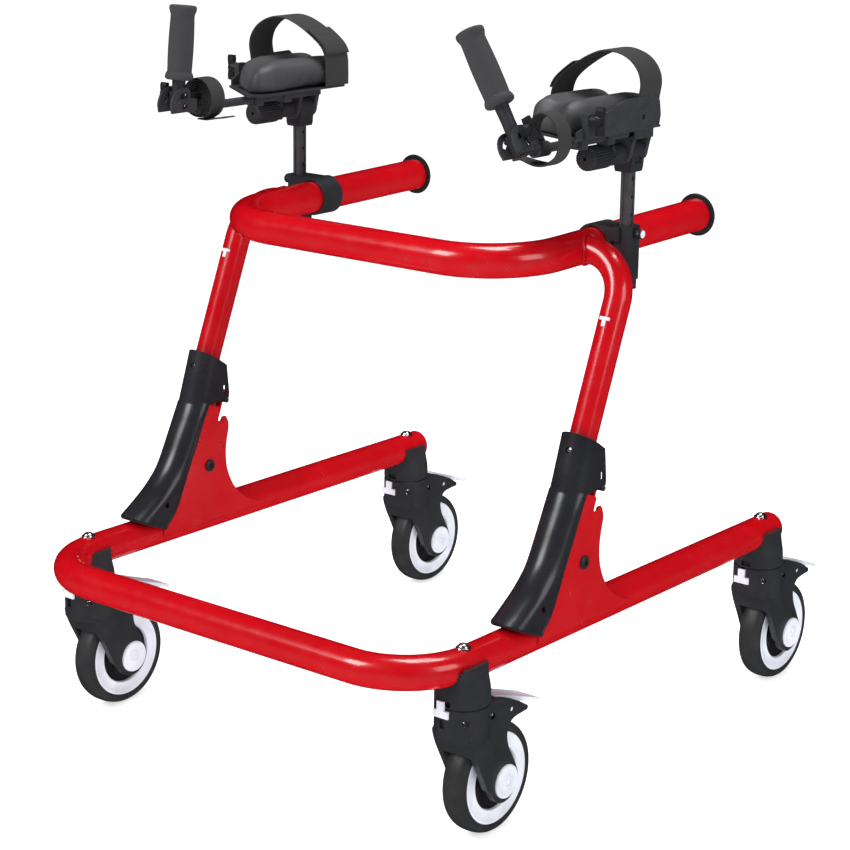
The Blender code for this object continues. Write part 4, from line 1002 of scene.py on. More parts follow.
# ------------------------------------------------------------------ upper frame
@dataclass
class UpperFrame:
    """Handlebar with both legs, pivot and latch blocks, pegs and end caps."""

    bar_x: float = 0.2144
    bar_radius: float = 0.0193
    front: float = 0.1500
    rear: float = 0.5220
    rise: float = 0.0212
    height: float = 0.5862
    bend: float = 0.0900
    leg_radius: float = 0.0155
    leg_bend: float = 0.0520
    leg_top: float = 0.2815
    leg_offset: float = 0.0300
    lean: float = math.radians(21.8)

    def bar_z(self, y: float) -> float:
        """Height of the handlebar's axis at a station."""
        return self.height + self.rise * y

    def from_pivot(self, ahead: float, along: float) -> Spot:
        """A (y, z) place from distances ahead of and along the leg."""
        y = PIVOT[1] - math.cos(self.lean) * ahead + math.sin(self.lean) * along
        z = PIVOT[2] + math.sin(self.lean) * ahead + math.cos(self.lean) * along
        return (y, z)

    def bar(self) -> Draft:
        """The handlebar tube."""
        corners = [(s * self.bar_x, y + ORIGIN_Y, self.bar_z(y)) for s, y in
                   ((1, self.rear), (1, self.front), (-1, self.front), (-1, self.rear))]
        tilt = math.atan(self.rise)
        return Draft.sweep(bent(corners, self.bend, 24), self.bar_radius,
                           Vector((0, -math.sin(tilt), math.cos(tilt))))

    def leg(self, side: Side) -> Draft:
        """A leg from its foot to its weld on the handlebar."""
        x = side.value * RAIL_X
        foot, top = self.from_pivot(self.leg_offset, -0.0080), at(self.leg_top, self.bar_z(self.leg_top))
        corners = [(x, *foot), (x, *top), (side.value * (self.bar_x + 0.0120), *top)]
        flat = (Vector(corners[1]) - Vector(corners[0])).cross(Vector(corners[2]) - Vector(corners[1]))
        return Draft.sweep(bent(corners, self.leg_bend, 20), self.leg_radius, flat)

    def weld(self, side: Side) -> Draft:
        """Rippled fillet where the leg meets the handlebar."""
        y, z = at(self.leg_top, self.bar_z(self.leg_top))
        verts: List[Point] = []
        rings, sides = 72, 10
        for i in range(rings):
            turn = math.tau * i / rings
            radius = self.leg_radius + 0.0010
            dy, dz = radius * math.cos(turn), radius * math.sin(turn)
            depth = math.sqrt(max(self.bar_radius ** 2 - dz ** 2, 0.0))
            centre = Vector((side.value * (self.bar_x + depth + 0.0006), y + dy, z + dz))
            out = Vector((0.0, math.cos(turn), math.sin(turn)))
            size = 0.0021 * (1 + 0.12 * math.sin(turn * 24))
            for k in range(sides):
                phi = math.tau * k / sides
                verts.append(tuple(centre + out * size * math.cos(phi)
                                   + Vector((size * math.sin(phi), 0, 0))))
        faces = []
        for i in range(rings):
            for k in range(sides):
                a, b = i * sides, (i + 1) % rings * sides
                faces.append((a + k, b + k, b + (k + 1) % sides, a + (k + 1) % sides))
        return Draft(verts, faces)

    def lugs(self, side: Side) -> Draft:
        """Pivot block and latch block welded behind the leg."""
        x = side.value * RAIL_X
        eye = [self.from_pivot(0.0200, 0.0160), self.from_pivot(0.0200, -0.0060)]
        eye += [self.from_pivot(0.0130 * math.cos(a), 0.0130 * math.sin(a))
                for a in [-math.pi / 2 - i * math.pi / 16 for i in range(17)]]
        block = [self.from_pivot(0.0180, 0.0960), self.from_pivot(-0.0060, 0.0960)]
        block += [self.from_pivot(-0.0060, 0.0500), self.from_pivot(0.0180, 0.0420)]
        slot = [self.from_pivot(0.0016 + a, b) for a, b in ((0.0037, 0.0556), (0.0037, 0.0870),
                                                             (-0.0037, 0.0870), (-0.0037, 0.0556))]
        latch = Draft.prism("X", block, x - 0.0110, x + 0.0110).carved(
            cut=[Draft.prism("X", slot, x - 0.02, x + 0.02)])
        return Draft.prism("X", eye, x - 0.0100, x + 0.0100).plus(latch)

    def peg(self, side: Side) -> Draft:
        """White T-shaped stop on the front of the leg."""
        x = side.value * RAIL_X
        y, z = at(0.2395, 0.5270)
        stem = Draft.box((x - 0.0022, x + 0.0022), (y - 0.0022, y + 0.006), (z - 0.0060, z + 0.0015))
        bar = Draft.box((x - 0.0060, x + 0.0060), (y - 0.0026, y + 0.006), (z + 0.0010, z + 0.0046))
        return stem.plus(bar).spun("X", (x, y, z), -22)

    def cap(self, side: Side) -> Draft:
        """Flanged plug in the handlebar's rear end."""
        y, z = at(self.rear, self.bar_z(self.rear))
        steps = [(0.0, -0.012), (0.0174, -0.012), (0.0174, 0.0003), (0.0240, 0.0003), (0.0252, 0.0008)]
        steps += [(0.0254, 0.0016), (0.0249, 0.0026), (0.0236, 0.0033), (0.0200, 0.0033), (0.0185, 0.0026)]
        steps += [(0.0, 0.0024)]
        disc = Draft.lathe("Y", [(r, y + h) for r, h in steps], (side.value * self.bar_x, z), 72)
        return disc.spun("X", (0.0, y, z), math.degrees(math.atan(self.rise)))

    def latch(self, side: Side) -> Draft:
        """Latch pin with a collar beside each plate."""
        x = side.value * RAIL_X
        spot = self.from_pivot(0.0016, 0.0833)
        half = 0.0246
        steps = [(0.0, -half), (0.0024, -half), (0.0034, -half + 0.001), (0.0034, -0.0152),
                 (0.0042, -0.0150)]
        steps += [(0.0042, -0.0124), (0.0034, -0.0122)]
        steps += [(r, -h) for r, h in reversed(steps)]
        return Draft.lathe("X", [(r, x + h) for r, h in steps], spot, 24)

    def build(self) -> None:
        """Make and dress every piece of the upper frame."""
        Workshop.piece("handlebar_tube", self.bar(), RED, "upper", replaces=["upper_frame"], sharp=60)
        for side in Side:
            tag = side.tag
            Workshop.piece("leg_tube_" + tag, self.leg(side), RED, "upper", sharp=60)
            Workshop.piece("leg_weld_" + tag, self.weld(side), RED, "upper", sharp=80)
            Workshop.piece("leg_blocks_" + tag, self.lugs(side), RED, "upper", bevel=0.0008)
            Workshop.piece("leg_peg_" + tag, self.peg(side), WHITE, "upper", bevel=0.0005)
            Workshop.piece("bar_cap_" + tag, self.cap(side), SATIN_BLACK, "upper",
                           replaces=["handle_cap_" + tag], sharp=50)
            Workshop.piece("latch_bar_" + tag, self.latch(side), BLACK_STEEL, "latch_" + tag,
                           replaces=["latch_pin_" + tag])


# ------------------------------------------------------------------ casters
@dataclass
class Caster:
    """Braked swivel caster: body, fork, wheel, axle caps, pedal and swivel lock."""

    end: End
    side: Side
    tread_radius: float = 0.0625
    trail: float = 0.0440

    @property
    def tag(self) -> str:
        """The end of its node names."""
        return self.end.value + "_" + self.side.tag

    @property
    def swivel(self) -> Vector:
        """A point on the swivel axis."""
        return Vector(joint("swivel_" + self.tag)["pos_m"])

    @property
    def hub(self) -> Vector:
        """The wheel's centre."""
        return Vector(joint("roll_" + self.tag)["pos_m"])

    def ring(self, steps: Sequence[Spot], sides: int = 96) -> Draft:
        """A turned part about the axle from one half's steps, mirrored across the wheel's plane."""
        x, y, z = self.hub
        profile = [(r, x + w) for r, w in steps] + [(r, x - w) for r, w in reversed(steps)]
        return Draft.lathe("X", profile, (y, z), sides)

    def housing(self) -> Draft:
        """Fixed body: a round socket that rises into a saddle under the rail."""
        x, y = self.swivel[0], self.swivel[1]
        low = self.swivel[2] + 0.0007
        base = Base()
        levels = [(low, 0.0292, 0.0), (low + 0.0010, 0.0300, 0.0), (0.1740, 0.0300, 0.0),
                  (0.1790, 0.0300, 0.12)]
        levels += [(0.1840, 0.0300, 0.34), (0.1890, 0.0299, 0.60), (0.1940, 0.0297, 0.84),
                   (0.1990, 0.0295, 1.0)]
        levels += [(0.2060, 0.0293, 1.0)]
        body = Draft.loft([[(x + a, y + b, z) for a, b in self.collar_section(r, share)]
                           for z, r, share in levels])
        channel = Draft.sweep(base.path(), base.tube_radius + 0.0003, Vector((0, 0, 1)), 64)
        opening = Draft.box((x - 0.0188, x + 0.0188), (y - 0.05, y + 0.05), (base.height, 0.23))
        bore = Draft.rod("Z", 0.0083, (x, y), low - 0.01, 0.1708, 32)
        lock_slot = Draft.box((x - 0.0065, x + 0.0065), (y - 0.04, y - 0.0255), (0.1632, 0.1695))
        return body.carved(cut=[channel, opening, bore, lock_slot])

    @staticmethod
    def collar_section(radius: float, share: float) -> List[Spot]:
        """A section between a circle and the squared top with a ridge at its corners.

        Args:
            radius: The circle's radius.
            share: 0 for the circle, 1 for the squared top.

        Returns:
            The section's points round the swivel axis.
        """
        outline: List[Spot] = []
        for i in range(96):
            angle = math.tau * (i + 0.5) / 96
            c, s = math.cos(angle), math.sin(angle)
            reach_y = 0.0190 if s > 0 else 0.0262
            square = 1.0 / ((abs(c) / 0.0238) ** 5 + (abs(s) / reach_y) ** 5) ** 0.2
            r = radius * (1.0 - share) + min(square, radius * 1.04) * share
            outline.append((r * c, r * s))
        return outline

    def fork(self) -> Draft:
        """Swivelling fork: collar, kingpin, two cheeks and the brake housing behind."""
        x, y = self.swivel[0], self.swivel[1]
        top = self.swivel[2]
        outer, inner = 0.0262, 0.0185
        hub = (y + self.trail - 0.0020, self.hub[2])
        collar = Draft.lathe("Z", [(0.0, 0.1220), (0.0286, 0.1220), (0.0300, 0.1236),
                                   (0.0300, top - 0.0010),
                                   (0.0290, top), (0.0, top)], (x, y), 72)
        stem = Draft.rod("Z", 0.0080, (x, y), top - 0.01, 0.1700, 32)
        front = smooth_line([(y - 0.0178, 0.1290), (y - 0.0166, 0.1220), (y - 0.0110, 0.1080),
                             (y + 0.0020, 0.0830),
                             (y + 0.0130, 0.0590)], 6)
        nose = arc(hub, 0.0235, 200, 385, 28)
        heel = smooth_line([(y + 0.0634, 0.0724), (y + 0.0566, 0.0850), (y + 0.0480, 0.1010),
                            (y + 0.0450, 0.1130),
                            (y + 0.0464, 0.1220), (y + 0.0531, 0.1300), (y + 0.0640, 0.1325),
                            (y + 0.0780, 0.1335)], 5)
        crown = arc((y + 0.0785, 0.1362), 0.0027, -80, 60, 5)
        crown += smooth_line([(y + 0.0790, 0.1392), (y + 0.0600, 0.1500), (y + 0.0350, 0.1592),
                              (y + 0.0150, 0.1595)], 5)
        cheek = front[:-1] + nose + heel[1:] + crown
        body = Draft.prism("X", cheek, x - outer, x + outer)
        well = Draft.rod("X", self.tread_radius + 0.0030, (y + self.trail, self.hub[2]), x - inner,
                         x + inner, 64)
        gap = Draft.box((x - inner, x + inner), (y - 0.06, y + 0.12), (0.0, 0.0800))
        bay = Draft.box((x - 0.0170, x + 0.0170), (y + 0.0335, y + 0.12), (0.1290, 0.20))
        axle = Draft.rod("X", 0.0053, (y + self.trail, self.hub[2]), x - 0.04, x + 0.04, 24)
        pin = Draft.rod("X", 0.0027, (y + 0.0525, 0.1420), x - 0.04, x + 0.04, 16)
        lock_way = Draft.box((x - 0.0072, x - 0.0008), (y - 0.04, y - 0.0262), (0.1380, top + 0.01))
        return collar.carved([stem, body], [well, gap, bay, axle, pin, lock_way])

    def tyre(self) -> Draft:
        """Tyre with rounded shoulders and a shallow tread line."""
        steps = [(0.0505, 0.0128), (0.0522, 0.0142), (0.0548, 0.0145), (0.0574, 0.0141), (0.0594, 0.0128)]
        steps += [(0.0609, 0.0106), (0.0619, 0.0076), (0.0624, 0.0046), (0.0625, 0.0022), (0.0625, 0.0003)]
        return self.ring(steps)

    def rim(self) -> Draft:
        """White rim with a rolled lip."""
        steps = [(0.0350, 0.0100), (0.0355, 0.0124), (0.0364, 0.0131), (0.0376, 0.0128), (0.0400, 0.0122)]
        steps += [(0.0470, 0.0128), (0.0490, 0.0139), (0.0504, 0.0140), (0.0513, 0.0132), (0.0515, 0.0110)]
        return self.ring(steps)

    def disc(self) -> Draft:
        """Dark wheel centre with a raised hub."""
        steps = [(0.0053, 0.0176), (0.0118, 0.0176), (0.0132, 0.0166), (0.0140, 0.0085), (0.0180, 0.0072)]
        steps += [(0.0330, 0.0082), (0.0344, 0.0098), (0.0352, 0.0098)]
        return self.ring(steps, 72)

    def caps(self) -> Draft:
        """Round caps on both ends of the axle, dished with a raised centre."""
        x, y, z = self.hub
        made = []
        for way in (1, -1):
            seat = x + way * 0.0264
            steps = [(0.0, 0.0030), (0.0024, 0.0030), (0.0028, 0.0022), (0.0046, 0.0022), (0.0050, 0.0031)]
            steps += [(0.0064, 0.0031), (0.0072, 0.0022), (0.0150, 0.0023), (0.0162, 0.0029),
                      (0.0176, 0.0028)]
            steps += [(0.0185, 0.0020), (0.0188, 0.0010), (0.0188, 0.0)]
            made.append(Draft.lathe("X", [(r, seat + way * h) for r, h in steps] + [(0.0, seat)], (y, z),
                                    56))
        bolt = Draft.rod("X", 0.0050, (y, z), x - 0.0262, x + 0.0262, 24)
        return made[0].plus(made[1], bolt)

    def pedal(self) -> Draft:
        """Brake pedal with a crowned, ribbed blade, its web and hinge pin."""
        x, y = self.swivel[0], self.swivel[1]
        top = smooth_line([(0.0345, 0.1600), (0.0600, 0.1530), (0.0850, 0.1440), (0.1168, 0.1328)], 5)
        under = smooth_line([(0.1166, 0.1287), (0.0850, 0.1385), (0.0600, 0.1475), (0.0345, 0.1560)], 5)
        blade = Draft.prism("X", [(y + a, b) for a, b in top + under], x - 0.0163, x + 0.0163)
        web = [(0.0465, 0.1530), (0.0465, 0.1380), (0.0580, 0.1340), (0.0740, 0.1250), (0.0800, 0.1262)]
        web += [(0.0720, 0.1440)]
        shoe = Draft.prism("X", [(y + a, b) for a, b in web], x - 0.0110, x + 0.0110)
        grooves = []
        for i in range(5):
            a = 0.0930 + 0.0045 * i
            b = 0.1440 - (a - 0.0850) * 0.352
            corners = [(y + a, b + 0.002), (y + a + 0.0016, b + 0.0015), (y + a + 0.0016, b - 0.0012),
                       (y + a, b - 0.0007)]
            grooves.append(Draft.prism("X", corners, x - 0.0135, x + 0.0135))
        pin = Draft.rod("X", 0.0024, (y + 0.0525, 0.1420), x - 0.0254, x + 0.0254, 20)
        return blade.carved([shoe, pin], grooves)

    def screw(self) -> Draft:
        """Cross-head screw and its seat ring in the collar's front corner."""
        x, y = self.swivel[0], self.swivel[1]
        lean = Vector((0.70, -0.71, 0.0))
        head = Draft.lathe("Y", [(0.0, 0.0004), (0.0012, 0.0002), (0.0030, -0.0006), (0.0040, 0.0006),
                                 (0.0040, 0.0030), (0.0, 0.0030)], (0.0, 0.0), 24)
        head = head.spun("Z", (0.0, 0.0, 0.0), 45.0)
        return head.moved(x + lean[0] * 0.0298, y + lean[1] * 0.0298, 0.1460)

    def lens(self) -> Draft:
        """Round rivet on each fork cheek."""
        x, y = self.swivel[0], self.swivel[1]
        made = []
        for way in (1, -1):
            steps = [(0.0, 0.0012), (0.0022, 0.0010), (0.0034, 0.0002), (0.0034, -0.0010), (0.0, -0.0010)]
            made.append(Draft.lathe("X", [(r, x + way * (0.0262 + h)) for r, h in steps],
                                    (y + 0.0190, 0.1445), 24))
        return made[0].plus(made[1])

    def build(self) -> None:
        """Make and dress every piece of the caster."""
        tag = self.tag
        Workshop.piece("caster_body_" + tag, self.housing(), BLACK, "base", bevel=0.0010, sharp=35,
                       replaces=["caster_housing_" + tag])
        Workshop.piece("fork_body_" + tag, self.fork(), BLACK, "fork_" + tag, bevel=0.0016, sharp=35,
                       replaces=["caster_fork_" + tag])
        Workshop.keep("swivel_lock_" + tag, WHITE, bevel=0.0004)
        Workshop.piece("tyre_" + tag, self.tyre(), RUBBER, "wheel_" + tag, replaces=["wheel_" + tag],
                       sharp=70)
        Workshop.piece("rim_" + tag, self.rim(), WHITE, "wheel_" + tag, sharp=50)
        Workshop.piece("wheel_disc_" + tag, self.disc(), SATIN_BLACK, "wheel_" + tag, sharp=50)
        Workshop.piece("axle_caps_" + tag, self.caps(), WHITE, "fork_" + tag, replaces=["axle_" + tag],
                       sharp=50)
        Workshop.piece("pedal_" + tag, self.pedal(), WHITE, "pedal_" + tag, bevel=0.0007, sharp=28,
                       replaces=["brake_pedal_" + tag])
        Workshop.piece("collar_screw_" + tag, self.screw(), ZINC, "fork_" + tag, sharp=50)
        Workshop.piece("fork_rivets_" + tag, self.lens(), ZINC, "fork_" + tag, sharp=50)


# ------------------------------------------------------------------ forearm supports
@dataclass
class ForearmSupport:
    """Post, clamp, platform, cushion, straps, rod and hand grip of one side."""

    side: Side
    platform_z: float = 0.7285
    plate_thickness: float = 0.0025
    half: float = 0.0438
    strap_thickness: float = 0.0028
    strap_width: float = 0.0410
    strap_slant: float = 0.0150
    voxel: float = 0.0045
    rod_z: float = 0.7222

    @property
    def tag(self) -> str:
        """The side's name."""
        return self.side.tag

    @property
    def tilt(self) -> Vector:
        """A point on the tilt axis, above the post."""
        return Vector(joint("arm_tilt_" + self.tag)["pos_m"])

    @property
    def centre_x(self) -> float:
        """The platform's middle, halfway across its cushion."""
        low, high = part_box("cushion_" + self.tag)
        return (low[0] + high[0]) / 2

    @property
    def grip(self) -> Vector:
        """The hand grip's hinge."""
        return Vector(joint("grip_tilt_" + self.tag)["pos_m"])

    @property
    def grip_axis(self) -> Vector:
        """Direction of the hand grip's hinge."""
        return Vector(joint("grip_tilt_" + self.tag)["axis"])

    def x_out(self, distance: float) -> float:
        """X at a distance outboard of the platform's middle."""
        return self.centre_x + self.side.value * distance

    # -------------------------------------------------------------- rigid pieces
    def clamp(self) -> Draft:
        """Collar on the handlebar, bridge and post socket."""
        low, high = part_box("post_clamp_" + self.tag)
        post_low, post_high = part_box("post_" + self.tag)
        px, py = (post_low[0] + post_high[0]) / 2, (post_low[1] + post_high[1]) / 2
        bar = UpperFrame()
        bar_x = self.side.value * bar.bar_x
        z = bar.bar_z(py - ORIGIN_Y)
        outer, inner = bar.bar_radius + 0.0038, bar.bar_radius + 0.0008
        half = (high[1] - low[1]) / 2
        steps = [(inner, -half), (outer - 0.0008, -half), (outer, -half + 0.0010), (outer, half - 0.0010)]
        steps += [(outer - 0.0008, half), (inner, half)]
        ring = Draft.lathe("Y", [(r, py + h) for r, h in steps], (bar_x, z), 72)
        xs = sorted((bar_x, px))
        bridge = Draft.box((xs[0], xs[1]), (py - 0.0165, py + 0.0165), (z + 0.0060, z + outer - 0.0010))
        socket = Draft.prism("Z", self.square(px, py, 0.0124, 0.0040), low[2] + 0.0110, high[2] - 0.0002)
        heel_x = sorted((px + self.side.value * 0.0070, px + self.side.value * 0.0117))
        heel = Draft.box((heel_x[0], heel_x[1]), (py - 0.006, py + 0.006),
                         (low[2] + 0.0002, low[2] + 0.022))
        tube = Draft.rod("Y", inner, (bar_x, z), py - 0.03, py + 0.03, 72)
        well = Draft.prism("Z", self.square(px, py, 0.0069, 0.0018), low[2] - 0.01, high[2] + 0.01)
        return ring.carved([bridge, socket, heel], [tube, well])

    @staticmethod
    def square(x: float, y: float, half: float, chamfer: float) -> List[Spot]:
        """A square outline with cut corners."""
        near = half - chamfer
        return [(x + half, y + near), (x + near, y + half), (x - near, y + half), (x - half, y + near),
                (x - half, y - near), (x - near, y - half), (x + near, y - half), (x + half, y - near)]

    def post(self) -> Draft:
        """Extruded post with a groove down each face and adjustment holes."""
        low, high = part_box("post_" + self.tag)
        x, y = (low[0] + high[0]) / 2, (low[1] + high[1]) / 2
        bar = Draft.prism("Z", self.square(x, y, 0.0065, 0.0016), low[2], high[2])
        grooves = []
        for turn in range(4):
            cut = Draft.box((x + 0.0054, x + 0.0070), (y - 0.0020, y + 0.0020),
                            (low[2] - 0.01, high[2] + 0.01))
            grooves.append(cut.spun("Z", (x, y, 0.0), 90.0 * turn))
        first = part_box("post_pin_" + self.tag)
        middle = (first[0][2] + first[1][2]) / 2
        for k in range(-3, 4):
            z = middle + 0.02 * k
            if low[2] + 0.006 < z < high[2] - 0.009:
                grooves.append(Draft.rod("X", 0.0026, (y, z), x - 0.02, x + 0.02, 20))
        return bar.carved(cut=grooves)

    def knurl(self, teeth: int, depth: float) -> Callable[[float, float], float]:
        """A radius rule with rounded teeth."""
        def rule(radius: float, angle: float) -> float:
            """The radius at an angle."""
            return radius - depth * (0.5 - 0.5 * math.cos(angle * teeth)) ** 0.6
        return rule

    def pull_pin(self) -> Draft:
        """Round pull knob with grip teeth on the clamp's pin."""
        low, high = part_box("post_pin_" + self.tag)
        y, z = (low[1] + high[1]) / 2, (low[2] + high[2]) / 2
        start = low[0] if self.side is Side.RIGHT else high[0]
        way = self.side.value
        steps = [(0.0, 0.0), (0.0021, 0.0), (0.0021, 0.0056), (0.0050, 0.0060), (0.0058, 0.0068),
                 (0.0058, 0.0140)]
        steps += [(0.0050, 0.0152), (0.0030, 0.0154), (0.0, 0.0150)]
        return Draft.lathe("X", [(r, start + way * h) for r, h in steps], (y, z), 48,
                           self.knurl(12, 0.0005))

    def pull_button(self) -> Draft:
        """White domed button in the end of the pull knob."""
        low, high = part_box("post_pin_" + self.tag)
        y, z = (low[1] + high[1]) / 2, (low[2] + high[2]) / 2
        start = low[0] if self.side is Side.RIGHT else high[0]
        way = self.side.value
        steps = [(0.0, 0.0161), (0.0026, 0.0160), (0.0042, 0.0156), (0.0046, 0.0150), (0.0046, 0.0145),
                 (0.0, 0.0145)]
        return Draft.lathe("X", [(r, start + way * h) for r, h in steps], (y, z), 40)

    def tilt_knob(self) -> Draft:
        """Fluted clamp knob, its scalloped flange and stem."""
        low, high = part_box("tilt_knob_" + self.tag)
        x, z = self.tilt[0], self.tilt[2]
        front = low[1]
        radius = (high[0] - low[0]) / 2
        steps = [(0.0, 0.0060), (0.0021, 0.0060), (0.0021, 0.0004), (0.0030, 0.0), (radius * 0.72, 0.0)]
        steps += [(radius * 0.93, 0.0012), (radius, 0.0040), (radius, 0.0370), (radius * 0.94, 0.0395)]
        body = Draft.lathe("Y", [(r, front + h) for r, h in steps] + [(0.0, front + 0.0395)], (x, z), 168,
                           self.knurl(28, 0.0009))
        stem = [(0.0, 0.0380), (0.0100, 0.0380), (0.0100, 0.0655), (0.0040, 0.0655),
                (0.0040, high[1] - front)]
        shaft = Draft.lathe("Y", [(r, front + h) for r, h in stem] + [(0.0, high[1])], (x, z), 40)
        scallop = self.knurl(7, 0.0020)
        flange = [(0.0, 0.0402), (radius * 0.96, 0.0402), (radius, 0.0412), (radius, 0.0440),
                  (radius * 0.9, 0.0450)]
        rim = Draft.lathe("Y", [(r, front + h) for r, h in flange] + [(0.0, front + 0.0450)], (x, z), 112,
                          scallop)
        return body.plus(shaft, rim)

    def head(self) -> Draft:
        """Tilt head: barrel and tapered neck with a window on one side."""
        low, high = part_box("tilt_head_" + self.tag)
        x, z = self.tilt[0], self.tilt[2]
        y0, y1 = low[1], high[1]
        barrel = Draft.rod("Y", 0.0134, (x, z), y0, y1, 56)
        neck = Draft.prism("Y", [(x - 0.0100, low[2]), (x + 0.0100, low[2]), (x + 0.0114, low[2] + 0.004),
                                 (x + 0.0128, z - 0.004), (x + 0.0134, z), (x - 0.0134, z),
                                 (x - 0.0128, z - 0.004),
                                 (x - 0.0114, low[2] + 0.004)], y0, y1)
        way = self.side.value
        cut_x = sorted((x + way * 0.0104, x + way * 0.0200))
        window = Draft.box((cut_x[0], cut_x[1]), ((y0 + y1) / 2 - 0.0060, (y0 + y1) / 2 + 0.0060),
                           (z - 0.0125, z - 0.0050))
        well = Draft.prism("Z", self.square(x, (y0 + y1) / 2, 0.0068, 0.0016), 0.60, z - 0.0150)
        shaft = Draft.rod("Y", 0.0043, (x, z), y0 - 0.01, y1 + 0.01, 32)
        return barrel.carved([neck], [window, well, shaft])

    # -------------------------------------------------------------- padding
    def pad(self) -> bpy.types.Object:
        """Stuffed vinyl cushion: a loft inflated by a cloth run, then creased at its edge."""
        low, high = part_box("cushion_" + self.tag)
        node = frame["nodes"]["cushion_" + self.tag]
        middle = Vector(((low[0] + high[0]) / 2, (low[1] + high[1]) / 2, low[2]))
        shrink = Vector((0.955, 0.965, 0.93))
        verts = []
        for v in node.data.vertices:
            d = Vector(v.co) - middle
            verts.append((middle[0] + d[0] * shrink[0], middle[1] + d[1] * shrink[1],
                          low[2] + d[2] * shrink[2]))
        draft = Draft(verts, [tuple(p.vertices) for p in node.data.polygons])
        work = bmesh.new()
        work.from_mesh(draft.mesh("cushion_rough"))
        bmesh.ops.remove_doubles(work, verts=work.verts, dist=1e-5)
        mesh = bpy.data.meshes.new("pad_" + self.tag)
        work.to_mesh(mesh)
        work.free()
        thing = bpy.data.objects.new("pad_" + self.tag, mesh)
        bpy.context.scene.collection.objects.link(thing)
        step = thing.modifiers.new("even", "REMESH")
        step.mode = "VOXEL"
        step.voxel_size = self.voxel
        self.apply(thing)
        self.inflate(thing)
        self.settle(thing, low, high)
        step = thing.modifiers.new("smooth", "SMOOTH")
        step.iterations = 4
        self.apply(thing)
        self.crease(thing, low, high)
        Workshop.dress(thing, VINYL, subdivide=1)
        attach(thing, "arm_" + self.tag)
        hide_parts("cushion_" + self.tag)
        LOG.info("%s padded", thing.name)
        return thing

    @staticmethod
    def apply(thing: bpy.types.Object) -> None:
        """Fix a piece's modifiers into its mesh."""
        done = bpy.data.meshes.new_from_object(thing.evaluated_get(bpy.context.evaluated_depsgraph_get()))
        thing.modifiers.clear()
        thing.data = done

    @staticmethod
    def inflate(thing: bpy.types.Object) -> None:
        """Blow the cushion up a little as cloth and keep the result.

        Args:
            thing: The cushion's piece; its mesh is changed.
        """
        start = [v.co.copy() for v in thing.data.vertices]
        step = thing.modifiers.new("cloth", "CLOTH")
        step.settings.use_pressure = True
        step.settings.uniform_pressure_force = 4.0
        step.settings.effector_weights.gravity = 0.0
        step.settings.quality = 5
        step.point_cache.frame_start = 1
        step.point_cache.frame_end = 20
        scene = bpy.context.scene
        for number in range(1, 21):
            scene.frame_set(number)
        grown = thing.evaluated_get(bpy.context.evaluated_depsgraph_get())
        places = [v.co.copy() for v in grown.data.vertices]
        thing.modifiers.clear()
        limit = 0.0060
        for vertex, before, after in zip(thing.data.vertices, start, places):
            move = after - before
            if move.length > limit:
                move *= limit / move.length
            vertex.co = before + move
        scene.frame_set(1)

    def settle(self, thing: bpy.types.Object, low: Vector, high: Vector) -> None:
        """Keep the cushion in its own space: flat underneath, inside its sides."""
        for vertex in thing.data.vertices:
            co = vertex.co
            co[2] = max(co[2], low[2] + 0.0002)
            co[0] = min(max(co[0], low[0] + 0.0004), high[0] - 0.0004)
            co[1] = min(max(co[1], low[1]), high[1])

    def crease(self, thing: bpy.types.Object, low: Vector, high: Vector) -> None:
        """Pull the sides in and gather the cover into puckers above its lower edge."""
        middle = (low[0] + high[0]) / 2
        half = (high[0] - low[0]) / 2
        length = high[1] - low[1]
        for vertex in thing.data.vertices:
            x, y, z = vertex.co
            out = (x - middle) / half
            along = (y - low[1]) / length
            height = (z - low[2]) / (high[2] - low[2])
            side_share = max(0.0, abs(out) - 0.55) / 0.45
            band = math.exp(-((height - 0.34) / 0.20) ** 2)
            gather = (math.sin(along * 74.0 + 2.2 * math.sin(along * 19.0))
                      * math.exp(-((along - 0.5) / 0.3) ** 2))
            vertex.co[0] -= math.copysign(0.0016 * side_share * band * (0.6 + 0.6 * gather), out)
            vertex.co[2] += 0.0007 * side_share * band * gather

    # -------------------------------------------------------------- straps
    def forearm_line(self) -> List[Spot]:
        """Centre line of the forearm strap across the platform."""
        foot = self.half + 0.0004 + self.strap_thickness / 2
        low = self.platform_z + self.plate_thickness + 0.0006
        rough = [(foot, low), (foot, 0.7500), (foot + 0.0020, 0.7640), (0.0490, 0.7790), (0.0450, 0.7930)]
        rough += [(0.0350, 0.8048), (0.0205, 0.8112), (0.0060, 0.8110), (-0.0080, 0.8050),
                  (-0.0205, 0.7965)]
        rough += [(-0.0320, 0.7868), (-0.0405, 0.7770), (-0.0447, 0.7650), (-foot, 0.7500), (-foot, low)]
        return [(self.x_out(dx), z) for dx, z in smooth_line(rough, 7)]

